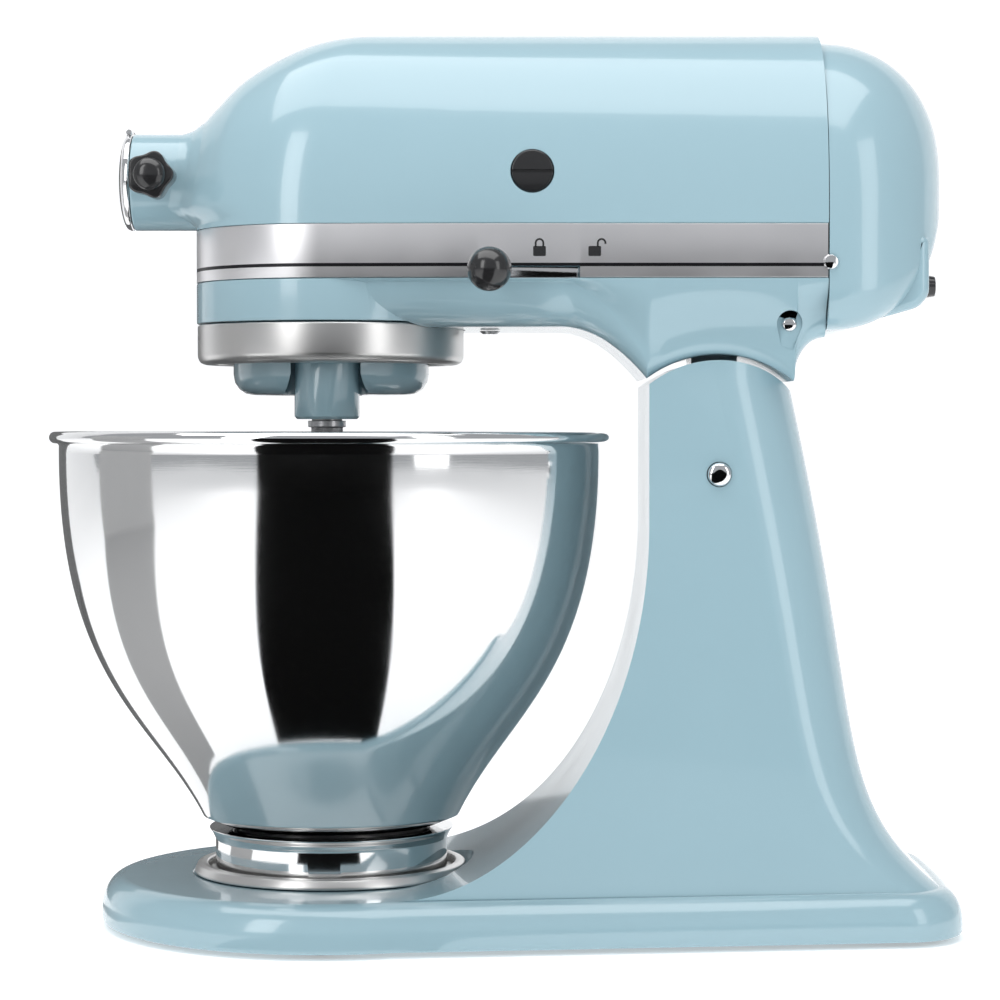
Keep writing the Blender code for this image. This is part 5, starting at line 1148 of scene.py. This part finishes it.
# ---------------------------------------------------------------- band and ring
@dataclass
class Trim:
    """The bright band round the head with its lock symbols, and the drip ring.

    Attributes:
        head: The castings, whose outline the band follows.
        thickness: Thickness of the band.
    """

    head: HeadCastings
    thickness: float = 0.0011

    def band(self) -> bpy.types.Mesh:
        """The band, with a slot for each lever."""
        outer = self.head.outline(0.0, AT.seam_x - GAP)
        inner = self.head.outline(self.thickness, AT.seam_x - GAP)
        steps = []
        for side, reach in LEVER_RUNS:
            near, far = sorted((side * 0.045, side * 0.060))
            steps.append((Cut.TAKE, block((-0.0070, near, 0.2527), (-0.0010 + reach, far, 0.2590), 0.0004)))
        strip = drawn_out(np.vstack([outer, inner[::-1]]), AT.band_low, AT.band_high, Axis.Z, 0.0002)
        return carved("band", strip, steps)

    def padlock(self, x: float, opened: bool) -> bpy.types.Mesh:
        """A small padlock lying on the right side of the band.

        Args:
            x: Its middle.
            opened: Whether its shackle stands clear on one side.

        Returns:
            The mesh.
        """
        near, far = -AT.half - 0.00012, -AT.half + 0.0003
        base = 0.2626
        left, right, high = x - 0.0024, x + 0.0024, base + 0.0038
        corners = [(left, base), (right, base), (right, high), (left, high)]
        body = drawn_out(rounded(corners, 0.0005, 4, closed=True), near, far, Axis.Y)
        shift = 0.0026 if opened else 0.0
        outer = arc(0.0018, 0, 180, 14, (x + shift, base + 0.0050))
        inner = arc(0.0011, 180, 0, 14, (x + shift, base + 0.0050))
        left, right = (x - 0.0018 + shift, x + 0.0018 + shift)
        feet_out = [(left, base + 0.0036), (left + 0.0007, base + 0.0036)]
        end = base + (0.0046 if opened else 0.0036)
        feet_in = [(right - 0.0007, end), (right, end)]
        outline = np.vstack([outer, feet_out, inner, feet_in])
        return (body + drawn_out(outline, near, far, Axis.Y)).mesh("padlock")

    def build(self) -> None:
        """Make the band, its symbols and the drip ring."""
        add_piece("band", self.band(), "band_aluminium", Body.HEAD, ("trim_band",), 30)
        add_piece("symbol_closed", self.padlock(0.0150, False), "black_plastic", Body.HEAD)
        add_piece("symbol_open", self.padlock(0.0360, True), "black_plastic", Body.HEAD)
        low, high, outer = 0.2223, 0.2381, AT.nose - 0.0003
        ring = [
            (outer - 0.0012, high), (outer, high - 0.0004), (outer, low + 0.0030), (outer - 0.0009, low + 0.0009),
            (outer - 0.0030, low), (outer - 0.0080, low), (outer - 0.0080, low + 0.0012),
            (outer - 0.0035, low + 0.0014), (outer - 0.0012, low + 0.0036),
        ]
        shape = turned(rounded(ring, 0.0008, closed=True), (AT.bowl_x, 0, 0), steps=176, ring=True)
        add_piece("splash_ring", shape.mesh("splash_ring"), "brushed_steel", Body.HEAD, ("drip_ring",))


# ---------------------------------------------------------------- controls and hub
@dataclass
class Controls:
    """Both sliding levers, the hub's bright cover and clamping knob, and the caps over the motor's brushes.

    Attributes:
        lever_x: Where both levers start.
        lever_z: Their height.
        stem_end: How far out the stems reach.
        ball: Radius of the ball knobs.
    """

    lever_x: float = -0.0040
    lever_z: float = 0.25685
    stem_end: float = 0.0620
    ball: float = 0.0084

    def lever(self, name: str, side: int, reach: float, body: Body) -> None:
        """A slider behind the band, with its stem and ball knob.

        Args:
            name: Lever's name.
            side: 1 for the left side of the machine, -1 for the right.
            reach: Length of the slider behind the stem.
            body: The body that it rides on.
        """
        x, z, outer = self.lever_x, self.lever_z, 0.0495
        near, far = sorted((side * (outer - 0.002), side * outer))
        slider = block((x - 0.0080, near, z - 0.0026), (x + reach, far, z + 0.0030), 0.0004)
        near, far = sorted((side * (outer - 0.0015), side * self.stem_end))
        stem = block((x - 0.0021, near, z - 0.0015), (x + 0.0021, far, z + 0.0015))
        bar = carved(f"{name}_bar", slider, [(Cut.JOIN, stem)])
        add_piece(f"{name}_bar", bar, "chrome", body, (f"{name}_slider",))
        centre = self.stem_end + 0.0090
        turn = np.radians(np.linspace(-48, 90, 40))
        ball = np.stack([self.ball * np.cos(turn), 0.0008 + self.ball * 0.95 * np.sin(turn)], axis=1)
        profile = np.vstack([[(0, -0.0070), (0.0046, -0.0070), (0.0050, -0.0066)], ball])
        profile[-1, 0] = 0.0
        profile[:, 1] = side * (centre + profile[:, 1])
        near, far = sorted((side * (centre - 0.012), side * (self.stem_end + GAP)))
        hole = block((x - 0.0024, near, z - 0.0018), (x + 0.0024, far, z + 0.0018))
        knob = carved(f"{name}_ball", turned(profile, (x, 0, z), Axis.Y, 72), [(Cut.TAKE, hole)])
        add_piece(f"{name}_ball", knob, "black_plastic", body, (f"{name}_knob",))

    def hub(self) -> None:
        """The cover over the attachment hub and the knob that clamps an attachment."""
        face, radius, centre = AT.hub_face_x - GAP, AT.hub_radius, (0, 0, AT.shaft_z)
        turn = np.radians(np.linspace(0, 90, 24))
        dome = np.stack([(radius - 0.0002) * np.sin(turn) ** 0.9, face - 0.0016 - 0.0037 * np.cos(turn)], axis=1)
        edge = [(radius, face - 0.0012), (radius, face - 0.0003), (radius - 0.0003, face), (0, face)]
        profile = np.vstack([dome, edge])
        hinge_x, hinge_z = AT.hub_face_x - 0.0017, AT.shaft_z + radius + 0.0005
        cover = carved("hub_lid", turned(profile, centre, Axis.X, 96), [
            (Cut.JOIN, rod(0.0012, -0.0060, 0.0060, (hinge_x, 0, hinge_z), Axis.Y, 32, 0.0002)),
            (Cut.JOIN, block((hinge_x - 0.0009, -0.0050, hinge_z - 0.0040), (hinge_x + 0.0007, 0.0050, hinge_z))),
        ])
        add_piece("hub_lid", cover, "chrome", Body.HUB_FLAP, ("hub_cover",))
        place = (AT.hub_knob_x, 0, AT.shaft_z)
        angle = np.linspace(0, 2 * math.pi, 160, endpoint=False)
        reach = 0.0086 + 0.0007 * np.cos(5 * angle)
        outline = np.stack([place[0] + reach * np.cos(angle), AT.shaft_z + reach * np.sin(angle)], axis=1)
        cap = [(0, -0.0445), (0.0040, -0.0438), (0.0062, -0.0420), (0.0066, -0.0390), (0, -0.0390)]
        grip = carved("hub_grip", drawn_out(outline, -0.0400, -0.0280, Axis.Y, 0.0009), [
            (Cut.JOIN, turned(rounded(cap, 0.0012), place, Axis.Y, 64)),
            (Cut.JOIN, rod(0.0055, -0.0290, -0.0225, place, Axis.Y, 48)),
            (Cut.TAKE, rod(0.0032, -0.0330, -0.0200, place, Axis.Y, 32)),
        ])
        add_piece("hub_grip", grip, "black_plastic", Body.HUB_CLAMP, ("hub_knob",), 40)

    def brush_cap(self, label: str, side: int) -> None:
        """One slotted cap over a motor brush, as thick as the frame's own.

        Args:
            label: left or right.
            side: 1 for the left side of the machine, -1 for the right.
        """
        low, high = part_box(f"brush_cap_{label}")
        face, back = (high[1], low[1]) if side > 0 else (low[1], high[1])
        x, radius = AT.brush_x, AT.cap_radius
        shape = rod(radius, back, face, (x, 0, AT.shaft_z), Axis.Y, 96, 0.0007)
        near, far = sorted((face - side * 0.0014, face + side * 0.0010))
        slot = block((x - 0.010, near, AT.shaft_z - 0.0006), (x + 0.010, far, AT.shaft_z + 0.0006))
        name = f"brush_cap_cover_{label}"
        add_piece(name, carved(name, shape, [(Cut.TAKE, slot)]), "black_plastic", Body.HEAD, (f"brush_cap_{label}",))

    def build(self) -> None:
        """Make the levers, the hub's parts and the brush caps."""
        self.brush_cap("left", 1)
        self.brush_cap("right", -1)
        self.lever("lock", -1, 0.0380, Body.LOCK)
        self.lever("speed", 1, 0.0240, Body.SPEED)
        self.hub()


# ---------------------------------------------------------------- finishes for the frame's own parts
SOFTENED: dict[str, tuple[Body, str, float]] = {
    # frame node: its body, its slot and the width of its eased edges
    "planetary_casting": (Body.PLANETARY, "enamel", 0.0009),
    "flat_beater": (Body.BEATER, "cast_zinc", 0.0008),
    "beater_shaft": (Body.BEATER, "machined_steel", 0.0002),
    "cord_gland": (Body.HEAD, "black_plastic", 0.0003),
    "band_screw_left": (Body.HEAD, "chrome", 0.0001),
    "band_screw_right": (Body.HEAD, "chrome", 0.0001),
    "belly_screw": (Body.HEAD, "machined_steel", 0.0002),
    "rear_cover_screw": (Body.HEAD, "machined_steel", 0.0002),
}


def soften_shown_parts() -> None:
    """Replace the frame's outer small parts with merged copies, whose sharp edges are eased inwards."""
    for node, (body, slot, width) in SOFTENED.items():
        mesh = frame["nodes"][node].data.copy()
        mesh.name = f"{node}_soft"
        work = bmesh.new()
        work.from_mesh(mesh)
        bmesh.ops.remove_doubles(work, verts=work.verts, dist=1e-6)
        bmesh.ops.dissolve_limit(work, angle_limit=math.radians(0.5), verts=work.verts, edges=work.edges)
        work.to_mesh(mesh)
        work.free()
        obj = add_piece(f"{node}_soft", mesh, slot, body, (node,), 42)
        edge = obj.modifiers.new("eased edges", "BEVEL")
        edge.width, edge.segments, edge.limit_method = width, 3, "ANGLE"
        edge.angle_limit = math.radians(42)
        edge.use_clamp_overlap = True
        edge.harden_normals = True


def finish_inner_parts() -> None:
    """Give every frame node that is still shown the finish of its own material slot."""
    slots = {part["node"]: part["material_slot"] for part in frame["record"]["subparts"]}
    for name, node in frame["nodes"].items():
        material = FINISHES[slots[name]].material()
        if not node.material_slots:
            node.data.materials.append(material)
        for entry in node.material_slots:
            entry.material = material


# ---------------------------------------------------------------- camera, lights and backdrop
@dataclass
class Studio:
    """The level side view, white sheet, softboxes and black card.

    Attributes:
        distance: Camera to the mixer's middle plane.
        camera_z: The camera's height.
        lens: Focal length in millimetres.
        tilt: How far the camera looks down, in degrees.
    """

    distance: float = 1.140
    camera_z: float = 0.1984
    lens: float = 102.6
    tilt: float = 1.507

    def camera(self) -> None:
        """Place the camera on the right side of the machine."""
        data = bpy.data.cameras.new("side")
        data.lens, data.sensor_width = self.lens, 36.0
        obj = bpy.data.objects.new("side", data)
        obj.location = (0.0, -self.distance, self.camera_z)
        obj.rotation_euler = (math.radians(90 - self.tilt), 0.0, 0.0)
        bpy.context.scene.collection.objects.link(obj)
        bpy.context.scene.camera = obj

    def light(self, name: str, place: tuple[float, float, float], target: tuple[float, float, float],
              size: tuple[float, float], power: float) -> None:
        """Add a softbox that faces a point.

        Args:
            name: Its name.
            place: Where it hangs.
            target: The point that it faces.
            size: Width and height.
            power: Watts.
        """
        data = bpy.data.lights.new(name, "AREA")
        data.shape, data.energy = "RECTANGLE", power
        data.size, data.size_y = size
        obj = bpy.data.objects.new(name, data)
        obj.location = place
        obj.rotation_euler = (Vector(target) - Vector(place)).to_track_quat("-Z", "Y").to_euler()
        bpy.context.scene.collection.objects.link(obj)

    def world(self) -> None:
        """A plain pale surrounding."""
        world = bpy.data.worlds.new("surround")
        world.use_nodes = True
        background = world.node_tree.nodes["Background"]
        background.inputs["Color"].default_value = (0.93, 0.96, 1.0, 1.0)
        background.inputs["Strength"].default_value = 0.45
        bpy.context.scene.world = world

    def sheet(self) -> None:
        """A white sheet that runs under the mixer and curves up behind it."""
        turn = np.radians(np.linspace(0, 90, 24))
        y = np.concatenate([[-4.0], 1.6 + 0.8 * np.sin(turn), [2.4]])
        z = np.concatenate([[0.0], 0.8 - 0.8 * np.cos(turn), [3.2]])
        points = np.stack([np.repeat([[-5.0, 5.0]], len(y), axis=0), np.repeat(y[:, None], 2, axis=1),
                           np.repeat(z[:, None], 2, axis=1)], axis=-1)
        mesh = bpy.data.meshes.new("sheet")
        mesh.from_pydata(points.reshape(-1, 3).tolist(), [], grid_faces(len(y), 2, False, False))
        mesh.shade_smooth()
        material = bpy.data.materials.new("sheet_white")
        material.use_nodes = True
        shader = material.node_tree.nodes["Principled BSDF"]
        shader.inputs["Base Color"].default_value = (0.96, 0.96, 0.96, 1.0)
        shader.inputs["Roughness"].default_value = 0.8
        shader.inputs["Emission Color"].default_value = (1.0, 1.0, 1.0, 1.0)
        shader.inputs["Emission Strength"].default_value = 0.36
        mesh.materials.append(material)
        obj = bpy.data.objects.new("sheet", mesh)
        bpy.context.scene.collection.objects.link(obj)

    def card(self, name: str, span: tuple[float, float], reach: tuple[float, float], top: float, grey: float) -> None:
        """A card that only reflections see: a wedge about the bowl's axis that lies on the table and then stands up.

        Args:
            name: Its name.
            span: Its two sides, in degrees from the way to the camera towards +X.
            reach: Distances from the axis where it starts and where it stands up.
            top: Its upper edge.
            grey: Its lightness.
        """
        turn = np.radians(np.linspace(*span, 12))
        away = np.array([reach[0], reach[1], reach[1]])[:, None]
        height = np.broadcast_to(np.array([0.003, 0.003, top])[:, None], (3, 12))
        points = np.stack([AT.bowl_x + away * np.sin(turn), -away * np.cos(turn), height], axis=-1)
        mesh = bpy.data.meshes.new(name)
        mesh.from_pydata(points.reshape(-1, 3).tolist(), [], grid_faces(3, 12, False, False))
        material = bpy.data.materials.new(name)
        material.use_nodes = True
        shader = material.node_tree.nodes["Principled BSDF"]
        shader.inputs["Base Color"].default_value = (grey, grey, grey, 1.0)
        shader.inputs["Roughness"].default_value = 1.0
        shader.inputs["Specular IOR Level"].default_value = 0.0
        mesh.materials.append(material)
        obj = bpy.data.objects.new(name, mesh)
        obj.visible_camera = obj.visible_diffuse = obj.visible_shadow = False
        bpy.context.scene.collection.objects.link(obj)

    def build(self) -> None:
        """Set up the camera, the lights and what stands round the mixer."""
        bpy.context.scene.view_settings.view_transform = "Standard"
        self.camera()
        self.world()
        self.sheet()
        self.card("black_card", (-26.0, 27.5), (0.0935, 1.7), 0.27, 0.004)
        self.card("left_card", (-104.0, -72.0), (0.10, 1.0), 0.60, 0.40)
        self.card("back_card", (-178.0, -138.0), (0.12, 0.9), 0.45, 0.15)
        self.light("overhead", (-0.1, -0.25, 1.25), (0.0, 0.0, 0.2), (1.6, 0.9), 12.0)
        self.light("front_left", (-1.0, -1.5, 0.9), (0.0, 0.0, 0.22), (0.5, 1.2), 7.0)
        self.light("front_right", (1.2, -1.3, 0.7), (0.0, 0.0, 0.2), (0.5, 1.2), 4.0)


def main() -> None:
    """Build the mixer and its studio."""
    logging.basicConfig(level=logging.INFO, format="%(name)s: %(message)s")
    head = HeadCastings()
    for part in (Pedestal(), MixingBowl(), head, Trim(head), Controls()):
        part.build()
    soften_shown_parts()
    finish_inner_parts()
    Studio().build()


if __name__ == "__main__":
    main()
